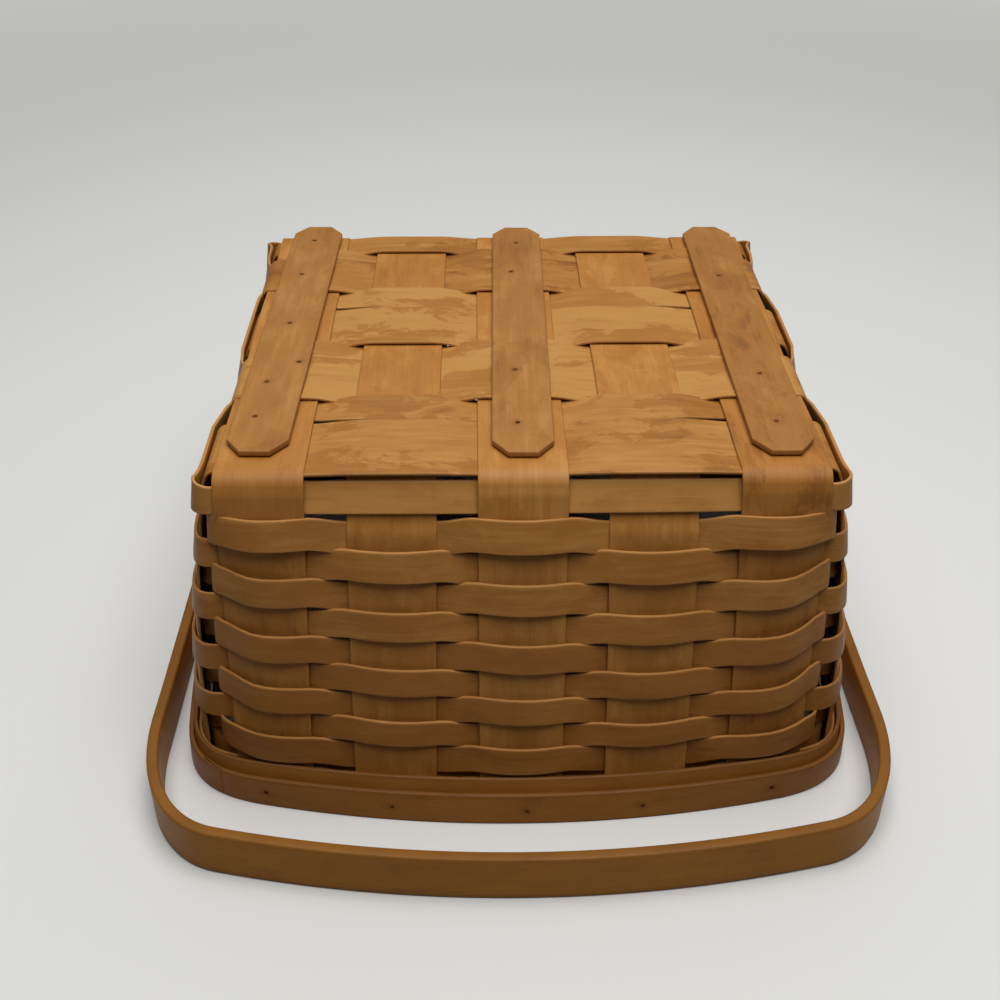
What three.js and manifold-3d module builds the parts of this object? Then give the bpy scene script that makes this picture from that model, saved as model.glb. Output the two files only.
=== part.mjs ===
// A woven splint picnic basket with nailed runners and a swing handle.
// Millimetres, +Z up. The basket stands upside down on its rim, as such baskets are stored and
// looked over: z = 0 is the plane of the rim, the runners face up, and the handle lies in front (-Y).

import * as THREE from 'three';
import { mergeVertices } from 'three/addons/utils/BufferGeometryUtils.js';
import Module from 'manifold-3d';

const wasm = await Module();
wasm.setup();

// Overall sizes
const HEIGHT = 146.5; // rim plane to the outer face of the woven base
const BASE_WIDTH = 230; // over the first weaver, left to right
const BASE_DEPTH = 214; // over the first weaver, front to back
const BASE_CORNER = 4; // bend of the wall at the four base corners
const RIM_WIDTH = 286.8; // over the outer rim band at the middle of the sides
const RIM_DEPTH = 268; // over the outer rim band at the middle of front and back
const RIM_BOW_FRONT = 11; // how far front and back bow out between the corners
const RIM_BOW_SIDE = 6.6; // how far the sides bow out between the corners
const RIM_CORNER = 36; // how far a rim corner reaches along each side
const RIM_ROUND = 0.32; // pull of the rim corner's curve, as a share of its chord
const WALL_BOW = 3; // how far the walls bow out halfway between base and rim

// Splints of the base, which turn down the walls as uprights
const SPLINT = 1.3; // thickness
const SPLINT_WIDTH = 32;
const SPLINT_COUNT = 5; // in each direction
const CORNER_ROOM = 3.95; // from the outermost lengthwise splints to the side walls
const UPRIGHT_SPREAD = 5.6; // the outermost uprights stand this much further out at the rim
const BEND = 2; // bend radius at the base edge, on the middle of the splint
const FILLER_WIDTH = 17; // the last cross splint closes the base at the back edge
const BOARD_WEIGHTS = [1.12, 0.945, 1.055, 0.88]; // hand-split cross splints differ in width
const BOARD_GAP = 2.6; // room between cross splints for a lengthwise splint to pass
const TONGUE_SETBACK = 3; // side uprights keep this far from the corner bend
const SLIT_LENGTH = 36.8; // a slit frees each side upright from its wide splint
const SLIT_MOUTH = 1; // width of the slit at its open end
const UPRIGHT_END = 1; // uprights stop this far short of the rim plane

// Weavers that go round the walls
const WEAVER = 1.3; // thickness
const WEAVER_HEIGHT = 11.6;
const WEAVER_BOW = 1.6; // how far a weaver bows away from the middle of an upright
const ROW_GAP = 0.4;
const FIRST_ROW_TOP = 3.1; // below the outer face of the base
const FIRST_ROW_GAP = 1.4; // the first two rows stand a little apart
const RIM_ROW_HEIGHT = 5; // the last row is a narrow one, held inside the rim
const RIM_ROW_DROP = 1; // this far below the edge of the rim strip
const RIM_GAP = 2.5; // left open between the rim strip and the row above it
const CORNER_STEPS = 4; // points round each corner
const LOOP_STEPS = 240; // points in a quarter of a wall line

// Rim
const STRIP = 1.6; // thickness of the strip that covers the upright ends
const STRIP_HEIGHT = 20.6;
const BAND = 2; // thickness of the nailed outer band
const BAND_HEIGHT = 14.4;
const INNER_BAND = 3; // thickness of the band inside the mouth
const INNER_BAND_HEIGHT = 20.6;
const SCARF_TIP = 0.4; // thickness left at the ends of the band's scarf joint

// Runners nailed under the base
const RUNNER_WIDTH = 22.4;
const RUNNER_INSET = 6; // a centred runner would end this far inside the edges of the base
const RUNNER = 2.2; // thickness
const RUNNER_CLIP = [5.8, 8]; // clipped corners, across and along
const RUNNER_OFF = { left: [-0.3, 7.5], middle: [1.6, 6], right: [1.2, 6.2] }; // across and along its splint
const RUNNER_SKEW = { left: 1.1, middle: 0.8, right: 0 }; // degrees that each one is nailed on askew

// Handle and its pivots
const HANDLE = 4.5; // thickness
const HANDLE_WIDTH = 20;
const HANDLE_REACH = 169; // pivot to the outside of the bar
const HANDLE_LEG = 92; // straight part of each leg
const HANDLE_CORNER = 32; // how far a handle corner reaches across
const HANDLE_BOW = 13.5; // how far the bar bows out between its corners
const HANDLE_ROUND = 0.62; // pull of a handle corner's curve, as a share of its reach
const HANDLE_STEPS = 10; // points along each curve of the handle
const RIVET_RADIUS = 2.2;
const RIVET_HEAD = [5.5, 2.2]; // radius and height of the domed head
const RIVET_TAIL = [4, 1.4]; // radius and height of the clinched tail
const OUTER_WASHER = [6, 1.5]; // radius and thickness, between rim and handle
const INNER_WASHER = [6, 1.2]; // radius and thickness, inside the mouth
const ROUND_STEPS = 16; // points round a pivot
const DOME_STEPS = 4; // points up a domed head

// Clearances
const FIT = 0.3; // between pieces that touch
const PIVOT_FIT = 0.3; // radial play of a rivet in its holes

// Distances from the middle of the wall, outwards, of what is laid against the uprights
const WEAVE_OFFSET = SPLINT / 2 + FIT + WEAVER / 2;
const WEAVE_FACE = WEAVE_OFFSET + WEAVER / 2;
const STRIP_BACK = WEAVE_FACE + FIT;
const STRIP_FACE = STRIP_BACK + STRIP;
const BAND_BACK = STRIP_FACE + FIT;
const BAND_FACE = BAND_BACK + BAND;
const INNER_BACK = -(WEAVE_FACE + FIT);
const INNER_FACE = INNER_BACK - INNER_BAND;

// Levels of the woven base: each splint runs half a step over or under the middle
const HALF_STEP = (SPLINT + FIT) / 2;
const OVER = HEIGHT - SPLINT / 2;
const UNDER = OVER - 2 * HALF_STEP;
const WALL_TOP = UNDER - BEND; // above this level the walls stand upright
const WALL_X = BASE_WIDTH / 2 - WEAVE_FACE;
const WALL_Y = BASE_DEPTH / 2 - WEAVE_FACE;
const PIVOT_Z = HANDLE_WIDTH / 2;
const OUTERMOST = WALL_X - CORNER_ROOM - SPLINT_WIDTH / 2; // middle of the outermost lengthwise splint
const PITCH = (2 * OUTERMOST) / (SPLINT_COUNT - 1);
const FAN = 1 + UPRIGHT_SPREAD / OUTERMOST;
const RUNNER_LENGTH = BASE_DEPTH - 2 * RUNNER_INSET;

const WOOD = { roughness: 0.55, metalness: 0 };
const FINISH = {
  splint: { color: 0x9a6a38, ...WOOD },
  cross: { color: 0xa5733d, ...WOOD },
  weaver: { color: 0x7d522a, ...WOOD },
  rim: { color: 0x6f4520, ...WOOD },
  runner: { color: 0xb07d47, ...WOOD },
  handle: { color: 0x74491f, ...WOOD },
  brass: { color: 0xa8894f, roughness: 0.35, metalness: 1 },
};

/** A closed plan curve, symmetric about both axes, measured along itself from the front middle. */
class Loop {
  constructor(quarterPath) {
    const quarter = quarterPath.getSpacedPoints(LOOP_STEPS);
    const mirrored = (sx, sy) => quarter.map((p) => new THREE.Vector2(p.x * sx, p.y * sy));
    this.points = [
      ...mirrored(1, 1),
      ...mirrored(1, -1).reverse().slice(1),
      ...mirrored(-1, -1).slice(1),
      ...mirrored(-1, 1).reverse().slice(1, -1),
    ];
    this.quarter = quarterPath.getLength();
    this.step = this.quarter / LOOP_STEPS;
  }

  /** Point at length s and its outward normal, as two Vector2. */
  at(s) {
    const count = this.points.length;
    const place = THREE.MathUtils.euclideanModulo(s / this.step, count);
    const index = Math.floor(place);
    const pick = (k) => this.points[THREE.MathUtils.euclideanModulo(index + k, count)];
    const point = pick(0).clone().lerp(pick(1), place - index);
    const along = pick(2).clone().sub(pick(-1)).normalize();
    return { point, normal: new THREE.Vector2(along.y, -along.x) };
  }
}

/** Wall line at the base: a rectangle with tight corners. */
function baseLoop() {
  const path = new THREE.Path();
  path.moveTo(0, -WALL_Y);
  path.lineTo(WALL_X - BASE_CORNER, -WALL_Y);
  path.absarc(WALL_X - BASE_CORNER, BASE_CORNER - WALL_Y, BASE_CORNER, -Math.PI / 2, 0);
  path.lineTo(WALL_X, 0);
  return new Loop(path);
}

/** Wall line at the rim: bowed sides joined by wide corners. */
function rimLoop() {
  const halfX = RIM_WIDTH / 2 - BAND_FACE;
  const halfY = RIM_DEPTH / 2 - BAND_FACE;
  const front = new THREE.Vector2(halfX - RIM_CORNER, RIM_BOW_FRONT - halfY);
  const side = new THREE.Vector2(halfX - RIM_BOW_SIDE, RIM_CORNER - halfY);
  const frontPull = new THREE.Vector2(front.x / 2, -halfY);
  const sidePull = new THREE.Vector2(halfX, side.y / 2);
  const reach = RIM_ROUND * front.distanceTo(side);
  const leave = front.clone().sub(frontPull).setLength(reach).add(front);
  const arrive = side.clone().sub(sidePull).setLength(reach).add(side);
  const path = new THREE.Path();
  path.moveTo(0, -halfY);
  path.quadraticCurveTo(frontPull.x, frontPull.y, front.x, front.y);
  path.bezierCurveTo(leave.x, leave.y, arrive.x, arrive.y, side.x, side.y);
  path.quadraticCurveTo(sidePull.x, sidePull.y, halfX, 0);
  return new Loop(path);
}

const BASE = baseLoop();
const RIM = rimLoop();

/** Point of the wall at a station, a distance out from its middle and a height. */
function wallPoint(station, out, z) {
  const t = Math.max(0, 1 - z / WALL_TOP);
  const bowed = out + WALL_BOW * 4 * t * (1 - t);
  const low = RIM.at(station.rim);
  const high = BASE.at(station.base);
  const p = high.point.clone().addScaledVector(high.normal, bowed);
  p.lerp(low.point.clone().addScaledVector(low.normal, bowed), t);
  return new THREE.Vector3(p.x, p.y, z);
}

/** Stations of the two edges of an upright, for a wall numbered 0 front, 1 right, 2 back, 3 left. */
function uprightEdges(wall, from, to) {
  const turn = wall < 2 ? 1 : -1;
  const centre = ((from + to) / 2) * turn;
  const half = (to - from) / 2;
  return [-half, half].map((side) => ({
    base: wall * BASE.quarter + centre + side,
    rim: wall * RIM.quarter + centre * FAN + side,
  }));
}

/** Triangles of the solid that runs through a row of four-cornered sections, as a ring or with end caps. */
function ribbon(sections, ring = false) {
  const index = [];
  const count = sections.length;
  const corner = (i, j) => (i % count) * 4 + (j % 4);
  for (let i = 0; i < (ring ? count : count - 1); i += 1) {
    for (let j = 0; j < 4; j += 1) {
      const [a, b, c, d] = [corner(i, j), corner(i, j + 1), corner(i + 1, j + 1), corner(i + 1, j)];
      if (j < 2) index.push(a, b, c, a, c, d);
      else index.push(a, b, d, b, c, d);
    }
  }
  if (!ring) {
    const last = (count - 1) * 4;
    index.push(0, 2, 1, 0, 3, 2, last, last + 1, last + 2, last, last + 2, last + 3);
  }
  const points = sections.flat();
  if (signedVolume(points, index) < 0) index.reverse();
  const geometry = new THREE.BufferGeometry().setFromPoints(points);
  geometry.setIndex(index);
  return geometry;
}

/** Six times the volume inside a list of triangles, negative when they face inwards. */
function signedVolume(points, index) {
  let sum = 0;
  for (let k = 0; k < index.length; k += 3) {
    const [a, b, c] = [points[index[k]], points[index[k + 1]], points[index[k + 2]]];
    sum += a.dot(b.clone().cross(c));
  }
  return sum;
}

/** A geometry as a manifold solid. */
function solid(geometry) {
  const bare = geometry.clone();
  bare.deleteAttribute('normal');
  bare.deleteAttribute('uv');
  const merged = mergeVertices(bare, 1e-4);
  return new wasm.Manifold(new wasm.Mesh({
    numProp: 3,
    vertProperties: new Float32Array(merged.attributes.position.array),
    triVerts: new Uint32Array(merged.index.array),
  }));
}

/** A manifold solid as a geometry. */
function shape(body) {
  const mesh = body.getMesh();
  const geometry = new THREE.BufferGeometry();
  geometry.setAttribute('position', new THREE.BufferAttribute(mesh.vertProperties, 3));
  geometry.setIndex(new THREE.BufferAttribute(mesh.triVerts, 1));
  return geometry;
}

/** A geometry with others cut out of it. */
function cut(geometry, ...cutters) {
  return shape(cutters.reduce((body, cutter) => body.subtract(solid(cutter)), solid(geometry)));
}

/** Cross splints from front to back: their edges, and the edges of the upright at each end. */
function crossSplints() {
  const reach = WALL_Y - SPLINT / 2 - FIT - BEND / 4; // clear of the bends of the lengthwise splints
  const limit = WALL_Y - BASE_CORNER - TONGUE_SETBACK;
  const room = 2 * reach - FILLER_WIDTH - BOARD_GAP * BOARD_WEIGHTS.length;
  const total = BOARD_WEIGHTS.reduce((sum, weight) => sum + weight, 0);
  const widths = [...BOARD_WEIGHTS.map((weight) => (room * weight) / total), FILLER_WIDTH];
  let front = -reach;
  return widths.map((width) => {
    const back = front + width;
    const tongueFront = Math.max(front, -limit);
    const tongueBack = Math.min(back, tongueFront + SPLINT_WIDTH, limit);
    const splint = { front, back, tongueFront, tongueBack };
    front = back + BOARD_GAP;
    return splint;
  });
}

const CROSS = crossSplints();
const LENGTHWISE = Array.from({ length: SPLINT_COUNT }, (_, i) => {
  const middle = i * PITCH - OUTERMOST;
  return { middle, left: middle - SPLINT_WIDTH / 2, right: middle + SPLINT_WIDTH / 2 };
});

/** Level of a lengthwise splint where it crosses a cross splint, and the cross splint's level there. */
const lengthwiseLevel = (i, j) => ((i + j) % 2 === 0 ? OVER : UNDER);
const crossLevel = (i, j) => ((i + j) % 2 === 0 ? UNDER : OVER);

/** Lower and upper edge of each weaver, from the base towards the rim; the rows fill the wall between. */
function weaverRows() {
  const first = HEIGHT - FIRST_ROW_TOP;
  const second = first - WEAVER_HEIGHT - FIRST_ROW_GAP;
  const last = STRIP_HEIGHT + RIM_GAP;
  const count = Math.round((second - last) / (WEAVER_HEIGHT + ROW_GAP));
  const pitch = (second - last) / count;
  const between = Array.from({ length: count }, (_, k) => {
    const top = second - k * pitch;
    return [top - pitch + ROW_GAP, top];
  });
  const inRim = STRIP_HEIGHT - RIM_ROW_DROP;
  return [[first - WEAVER_HEIGHT, first], ...between, [inRim - RIM_ROW_HEIGHT, inRim]];
}

const ROWS = weaverRows();
const WALL_LEVELS = [UPRIGHT_END, ...ROWS.map(([low]) => low).reverse(), WALL_TOP];

/** Sections of an upright from the rim to the base, between two edge stations. */
function uprightSections([a, b]) {
  const half = SPLINT / 2;
  return WALL_LEVELS.map((z) => [
    wallPoint(a, -half, z), wallPoint(a, half, z), wallPoint(b, half, z), wallPoint(b, -half, z),
  ]);
}

/** Profile of the bend between wall and base, as middle and outward normal along the wall's inward axis. */
function bendProfile(level) {
  const angles = [0, Math.PI / 6, Math.PI / 3, Math.PI / 2];
  return angles.map((angle) => ({
    inward: BEND * (1 - Math.cos(angle)),
    z: level - BEND + BEND * Math.sin(angle),
    normal: new THREE.Vector2(-Math.cos(angle), Math.sin(angle)),
  }));
}

/** Section of a splint across the run of the base; place(along, across, z) turns it into points. */
function baseSection(place, along, z, [from, to], normal = new THREE.Vector2(0, 1)) {
  const half = SPLINT / 2;
  const at = (across, side) => place(along + normal.x * side, across, z + normal.y * side);
  return [at(from, -half), at(from, half), at(to, half), at(to, -half)];
}

/** Sections of a splint from one wall, over the base, to the other wall. */
function splintSections(place, reach, spans, ends, edges) {
  const bend = (level, width, side) => bendProfile(level).map(({ inward, z, normal }) => {
    const along = side * (reach - inward);
    return baseSection(place, along, z, width, new THREE.Vector2(-side * normal.x, normal.y));
  });
  const first = uprightSections(edges[0]);
  const last = uprightSections(edges[1]).reverse();
  const run = spans.map(({ along, z, width }) => baseSection(place, along, z, width));
  const [start, finish] = ends;
  return [
    ...first,
    ...bend(start.level, start.width, -1).slice(start.level > UNDER ? 0 : 1),
    ...run,
    ...bend(finish.level, finish.width, 1).reverse().slice(0, finish.level > UNDER ? undefined : -1),
    ...last,
  ];
}

/** Lengthwise splint: up the front wall, woven over the base and down the back wall. */
function lengthwiseSplint(i) {
  const { left, right } = LENGTHWISE[i];
  const width = [left, right];
  const place = (along, across, z) => new THREE.Vector3(across, along, z);
  const spans = CROSS.flatMap(({ front, back }, j) => {
    const z = lengthwiseLevel(i, j);
    const ends = [];
    if (j > 0) ends.push({ along: front, z, width });
    if (j < CROSS.length - 1) ends.push({ along: back, z, width });
    return ends;
  });
  const ends = [
    { level: lengthwiseLevel(i, 0), width },
    { level: lengthwiseLevel(i, CROSS.length - 1), width },
  ];
  const edges = [uprightEdges(0, left, right), uprightEdges(2, left, right).reverse()];
  return ribbon(splintSections(place, WALL_Y, spans, ends, edges));
}

/** Wedge that frees an upright from its wide cross splint, on the side given by a sign. */
function slit(tongueBack, side) {
  const outer = OUTERMOST + SPLINT;
  const plan = new THREE.Shape([
    new THREE.Vector2(side * (OUTERMOST - SLIT_LENGTH), tongueBack),
    new THREE.Vector2(side * outer, tongueBack),
    new THREE.Vector2(side * outer, tongueBack + SLIT_MOUTH),
  ]);
  const wedge = new THREE.ExtrudeGeometry(plan, { depth: 4 * BEND + 4 * SPLINT, bevelEnabled: false });
  return wedge.translate(0, 0, HEIGHT - 2 * BEND - 2 * SPLINT);
}

/** Cross splint: a wide board over the base that narrows to an upright on each side wall. */
function crossSplint(j) {
  const { front, back, tongueFront, tongueBack } = CROSS[j];
  const full = [back, front];
  const tongue = [tongueBack, tongueFront];
  const place = (along, across, z) => new THREE.Vector3(along, across, z);
  const spans = LENGTHWISE.flatMap(({ left, right }, i) => {
    const z = crossLevel(i, j);
    const stretch = [{ along: left, z, width: full }, { along: right, z, width: full }];
    const step = (along) => [
      { along: along - SPLINT / 2, z, width: along < 0 ? tongue : full },
      { along: along + SPLINT / 2, z, width: along < 0 ? full : tongue },
    ];
    if (i === 0) return [...step(-OUTERMOST), stretch[1]];
    if (i === SPLINT_COUNT - 1) return [stretch[0], ...step(OUTERMOST)];
    return stretch;
  });
  const level = crossLevel(0, j);
  const ends = [{ level, width: tongue }, { level, width: tongue }];
  const edges = [
    uprightEdges(3, tongueFront, tongueBack),
    uprightEdges(1, tongueFront, tongueBack).reverse(),
  ];
  const board = ribbon(splintSections(place, WALL_X, spans, ends, edges));
  const isSlit = back - tongueBack > SLIT_MOUTH * 2 && j < CROSS.length - 1;
  return isSlit ? cut(board, slit(tongueBack, -1), slit(tongueBack, 1)) : board;
}

/** Uprights in order round the walls, from the left end of the front. */
function uprightRing() {
  const lengthwise = (wall, list) => list.map(({ left, right }) => uprightEdges(wall, left, right));
  const cross = (wall, list) => list.map((c) => uprightEdges(wall, c.tongueFront, c.tongueBack));
  return [
    lengthwise(0, LENGTHWISE), cross(1, CROSS),
    lengthwise(2, [...LENGTHWISE].reverse()), cross(3, [...CROSS].reverse()),
  ];
}

/** Stations round the walls: edges and middle of each upright, and points round each corner. */
function wallStations() {
  const walls = uprightRing();
  const uprights = walls.flat();
  const ends = walls.map((wall) => wall.at(-1));
  const stations = [];
  const wrap = { base: 4 * BASE.quarter, rim: 4 * RIM.quarter };
  uprights.forEach((upright, k) => {
    const [a, b] = upright;
    const here = { upright: k, share: 0, bow: 0 };
    stations.push({ places: [a], ...here });
    stations.push({ places: [a, b], ...here, bow: 1 });
    stations.push({ places: [b], ...here });
    const closing = k === uprights.length - 1;
    const next = uprights[(k + 1) % uprights.length][0];
    const steps = ends.includes(upright) ? CORNER_STEPS : 0;
    for (let step = 1; step <= steps; step += 1) {
      const share = step / (CORNER_STEPS + 1);
      const between = (key) => THREE.MathUtils.lerp(b[key], next[key] + (closing ? wrap[key] : 0), share);
      const place = { base: between('base'), rim: between('rim') };
      stations.push({ places: [place], upright: k, share, bow: 0 });
    }
  });
  return stations;
}

const STATIONS = wallStations();
const FLAT_STATIONS = STATIONS.filter(({ bow }) => bow === 0); // for bands that lie flat on the uprights

/** Section of a band at a station, between two distances out and two heights. */
function bandSection({ places }, inner, outer, low, high) {
  const at = (out, z) => {
    const first = wallPoint(places[0], out, z);
    return first.lerp(wallPoint(places.at(-1), out, z), 0.5);
  };
  return [at(inner, low), at(outer, low), at(outer, high), at(inner, high)];
}

/** Weaver: passes outside every second upright, the other way round from the row above. The first row lies
 * tight under the base edge and the last is held flat in the rim. */
function weaver(row) {
  const [low, high] = ROWS[row];
  const isLoose = row > 0 && row < ROWS.length - 1;
  const side = (k) => ((k + row) % 2 === 1 ? 1 : -1);
  const sections = (isLoose ? STATIONS : FLAT_STATIONS).map((station) => {
    const { upright, share, bow } = station;
    const reach = WEAVE_OFFSET + bow * WEAVER_BOW;
    const middle = THREE.MathUtils.lerp(side(upright), side(upright + 1), share) * reach;
    return bandSection(station, middle - WEAVER / 2, middle + WEAVER / 2, low, high);
  });
  return ribbon(sections, true);
}

/** Closed rim band between two distances out from the wall. */
function rimBand(inner, outer, height) {
  return ribbon(FLAT_STATIONS.map((station) => bandSection(station, inner, outer, 0, height)), true);
}

/** Outer rim band: its two ends taper past each other in a scarf joint at the front left corner. */
function outerBand() {
  const corner = FLAT_STATIONS.slice(-CORNER_STEPS);
  const share = (k) => k / (CORNER_STEPS - 1);
  const split = (k) => THREE.MathUtils.lerp(BAND_BACK + SCARF_TIP, BAND_FACE - SCARF_TIP - FIT, share(k));
  const under = corner.map((station, k) => bandSection(station, BAND_BACK, split(k), 0, BAND_HEIGHT));
  const over = corner.map((station, k) => bandSection(station, split(k) + FIT, BAND_FACE, 0, BAND_HEIGHT));
  const plain = FLAT_STATIONS.slice(0, -CORNER_STEPS);
  const round = plain.map((station) => bandSection(station, BAND_BACK, BAND_FACE, 0, BAND_HEIGHT));
  return ribbon([...under, ...round, ...over]);
}

/** Runner: a flat slat with clipped corners. */
function runner() {
  const halfX = RUNNER_WIDTH / 2;
  const halfY = RUNNER_LENGTH / 2;
  const [clipX, clipY] = RUNNER_CLIP;
  const plan = new THREE.Shape();
  plan.moveTo(-halfX, clipY - halfY);
  plan.lineTo(clipX - halfX, -halfY);
  plan.lineTo(halfX - clipX, -halfY);
  plan.lineTo(halfX, clipY - halfY);
  plan.lineTo(halfX, halfY - clipY);
  plan.lineTo(halfX - clipX, halfY);
  plan.lineTo(clipX - halfX, halfY);
  plan.lineTo(-halfX, halfY - clipY);
  return new THREE.ExtrudeGeometry(plan, { depth: RUNNER, bevelEnabled: false });
}

/** Distances of the pivot's pieces from the middle of the basket, on the right side. */
function pivotStack() {
  const middle = { base: BASE.quarter, rim: RIM.quarter };
  const bandOut = wallPoint(middle, BAND_FACE, PIVOT_Z - OUTER_WASHER[0]).x;
  const bandIn = wallPoint(middle, INNER_FACE, PIVOT_Z + INNER_WASHER[0]).x;
  const washer = bandOut + FIT;
  const handle = RIM_WIDTH / 2 + OUTER_WASHER[1] + 2 * FIT;
  const innerWasher = bandIn - FIT - INNER_WASHER[1];
  return {
    washer,
    handle,
    head: handle + HANDLE + FIT,
    innerWasher,
    tail: innerWasher - FIT,
  };
}

const STACK = pivotStack();

/** Cylinder along X through the right or left pivot. */
function pivotHole(side) {
  const length = HANDLE_REACH;
  const drill = new THREE.CylinderGeometry(
    RIVET_RADIUS + PIVOT_FIT, RIVET_RADIUS + PIVOT_FIT, length, ROUND_STEPS,
  );
  return drill.rotateZ(Math.PI / 2).translate(side * STACK.handle, 0, PIVOT_Z);
}

const PIVOT_HOLES = [pivotHole(-1), pivotHole(1)];

/** Line along the middle of the handle's thickness, from the left pivot round to the right one. */
function handleLine() {
  const leg = STACK.handle + HANDLE / 2;
  const bar = HANDLE_REACH - HANDLE / 2;
  const turnX = leg - HANDLE_CORNER;
  const turnY = -(bar - HANDLE_BOW);
  const slope = (2 * HANDLE_BOW) / turnX;
  const meetY = turnY + slope * HANDLE_CORNER;
  const path = new THREE.Path();
  path.moveTo(0, -bar);
  path.quadraticCurveTo(turnX / 2, -bar, turnX, turnY);
  path.bezierCurveTo(
    turnX + HANDLE_ROUND * HANDLE_CORNER, turnY + HANDLE_ROUND * slope * HANDLE_CORNER,
    leg, THREE.MathUtils.lerp(-HANDLE_LEG, meetY, HANDLE_ROUND), leg, -HANDLE_LEG,
  );
  path.lineTo(leg, HANDLE_WIDTH);
  const half = path.getPoints(HANDLE_STEPS);
  const mirror = half.slice(1).reverse().map((p) => new THREE.Vector2(-p.x, p.y));
  return [...mirror, ...half];
}

/** Handle: a bent strip on edge, with round ends and a hole at each pivot. */
function handle() {
  const line = handleLine();
  const offset = (side) => line.map((point, k) => {
    const before = line[Math.max(0, k - 1)];
    const after = line[Math.min(line.length - 1, k + 1)];
    const along = after.clone().sub(before).normalize();
    return new THREE.Vector2(along.y, -along.x).multiplyScalar((side * HANDLE) / 2).add(point);
  });
  const plan = new THREE.Shape([...offset(1), ...offset(-1).reverse()]);
  const strip = new THREE.ExtrudeGeometry(plan, { depth: HANDLE_WIDTH, bevelEnabled: false });
  const profile = new THREE.Shape();
  profile.moveTo(-2 * HANDLE_REACH, -FIT);
  profile.lineTo(-FIT, -FIT);
  profile.absarc(0, PIVOT_Z, PIVOT_Z, -Math.PI / 2, Math.PI / 2);
  profile.lineTo(-FIT, HANDLE_WIDTH + FIT);
  profile.lineTo(-2 * HANDLE_REACH, HANDLE_WIDTH + FIT);
  const width = 2 * STACK.head;
  const keep = new THREE.ExtrudeGeometry(profile, { depth: width, bevelEnabled: false, curveSegments: 12 });
  keep.applyMatrix4(new THREE.Matrix4().makeBasis(
    new THREE.Vector3(0, 1, 0), new THREE.Vector3(0, 0, 1), new THREE.Vector3(1, 0, 0),
  )).translate(-width / 2, 0, 0);
  const rounded = shape(solid(strip).intersect(solid(keep)));
  return cut(rounded, ...PIVOT_HOLES);
}

/** Turned piece about the pivot axis on one side; profile points are [radius, distance out]. */
function turned(profile, side) {
  const points = profile.map(([radius, out]) => new THREE.Vector2(radius, out));
  const geometry = new THREE.LatheGeometry(points, ROUND_STEPS);
  return geometry.rotateZ(-side * (Math.PI / 2)).translate(0, 0, PIVOT_Z);
}

/** Rivet: clinched tail inside the mouth, shank, and a domed head outside the handle. */
function rivet(side) {
  const [headRadius, headHeight] = RIVET_HEAD;
  const [tailRadius, tailHeight] = RIVET_TAIL;
  const dome = Array.from({ length: DOME_STEPS - 1 }, (_, k) => {
    const angle = ((k + 1) / DOME_STEPS) * (Math.PI / 2);
    return [headRadius * Math.cos(angle), STACK.head + headHeight * Math.sin(angle)];
  });
  return turned([
    [0, STACK.tail - tailHeight],
    [(tailRadius + RIVET_RADIUS) / 2, STACK.tail - tailHeight],
    [tailRadius, STACK.tail - tailHeight / 2],
    [tailRadius, STACK.tail],
    [RIVET_RADIUS, STACK.tail],
    [RIVET_RADIUS, STACK.head],
    [headRadius, STACK.head],
    ...dome,
    [0, STACK.head + headHeight],
  ], side);
}

/** Washer with its near face at a distance out. */
function washer(side, near, [radius, thickness]) {
  const bore = RIVET_RADIUS + PIVOT_FIT;
  return turned([
    [bore, near], [radius, near], [radius, near + thickness], [bore, near + thickness], [bore, near],
  ], side);
}

const basket = new THREE.Group();

/** Adds one named piece to the basket. */
function add(name, geometry, finish) {
  const mesh = new THREE.Mesh(geometry, new THREE.MeshStandardMaterial(FINISH[finish]));
  mesh.name = name;
  basket.add(mesh);
  return mesh;
}

LENGTHWISE.forEach((_, i) => add(`lengthwise_splint_${i + 1}`, lengthwiseSplint(i), 'splint'));

CROSS.forEach(({ tongueFront, tongueBack }, j) => {
  const isPivot = tongueFront < RIVET_RADIUS && tongueBack > -RIVET_RADIUS;
  const board = crossSplint(j);
  add(`cross_splint_${j + 1}`, isPivot ? cut(board, ...PIVOT_HOLES) : board, 'cross');
});

ROWS.forEach((_, row) => add(`weaver_${String(row + 1).padStart(2, '0')}`, weaver(row), 'weaver'));

add('rim_strip', cut(rimBand(STRIP_BACK, STRIP_FACE, STRIP_HEIGHT), ...PIVOT_HOLES), 'rim');
add('outer_rim_band', cut(outerBand(), ...PIVOT_HOLES), 'rim');
add('inner_rim_band', cut(rimBand(INNER_FACE, INNER_BACK, INNER_BAND_HEIGHT), ...PIVOT_HOLES), 'rim');

const runners = {
  left: LENGTHWISE.at(0),
  middle: LENGTHWISE.at((SPLINT_COUNT - 1) / 2),
  right: LENGTHWISE.at(-1),
};
Object.entries(runners).forEach(([name, { middle }]) => {
  const slat = add(`runner_${name}`, runner(), 'runner');
  const [across, along] = RUNNER_OFF[name];
  slat.position.set(middle + across, along, HEIGHT + FIT);
  slat.rotation.z = -THREE.MathUtils.degToRad(RUNNER_SKEW[name]);
});

add('handle', handle(), 'handle');

Object.entries({ left: -1, right: 1 }).forEach(([name, side]) => {
  add(`rivet_${name}`, rivet(side), 'brass');
  add(`outer_washer_${name}`, washer(side, STACK.washer, OUTER_WASHER), 'brass');
  add(`inner_washer_${name}`, washer(side, STACK.innerWasher, INNER_WASHER), 'brass');
});

// The origin is under the middle of everything that the basket covers, handle and all
basket.position.y = (HANDLE_REACH - RIM_DEPTH / 2) / 2;

export default basket;
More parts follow.
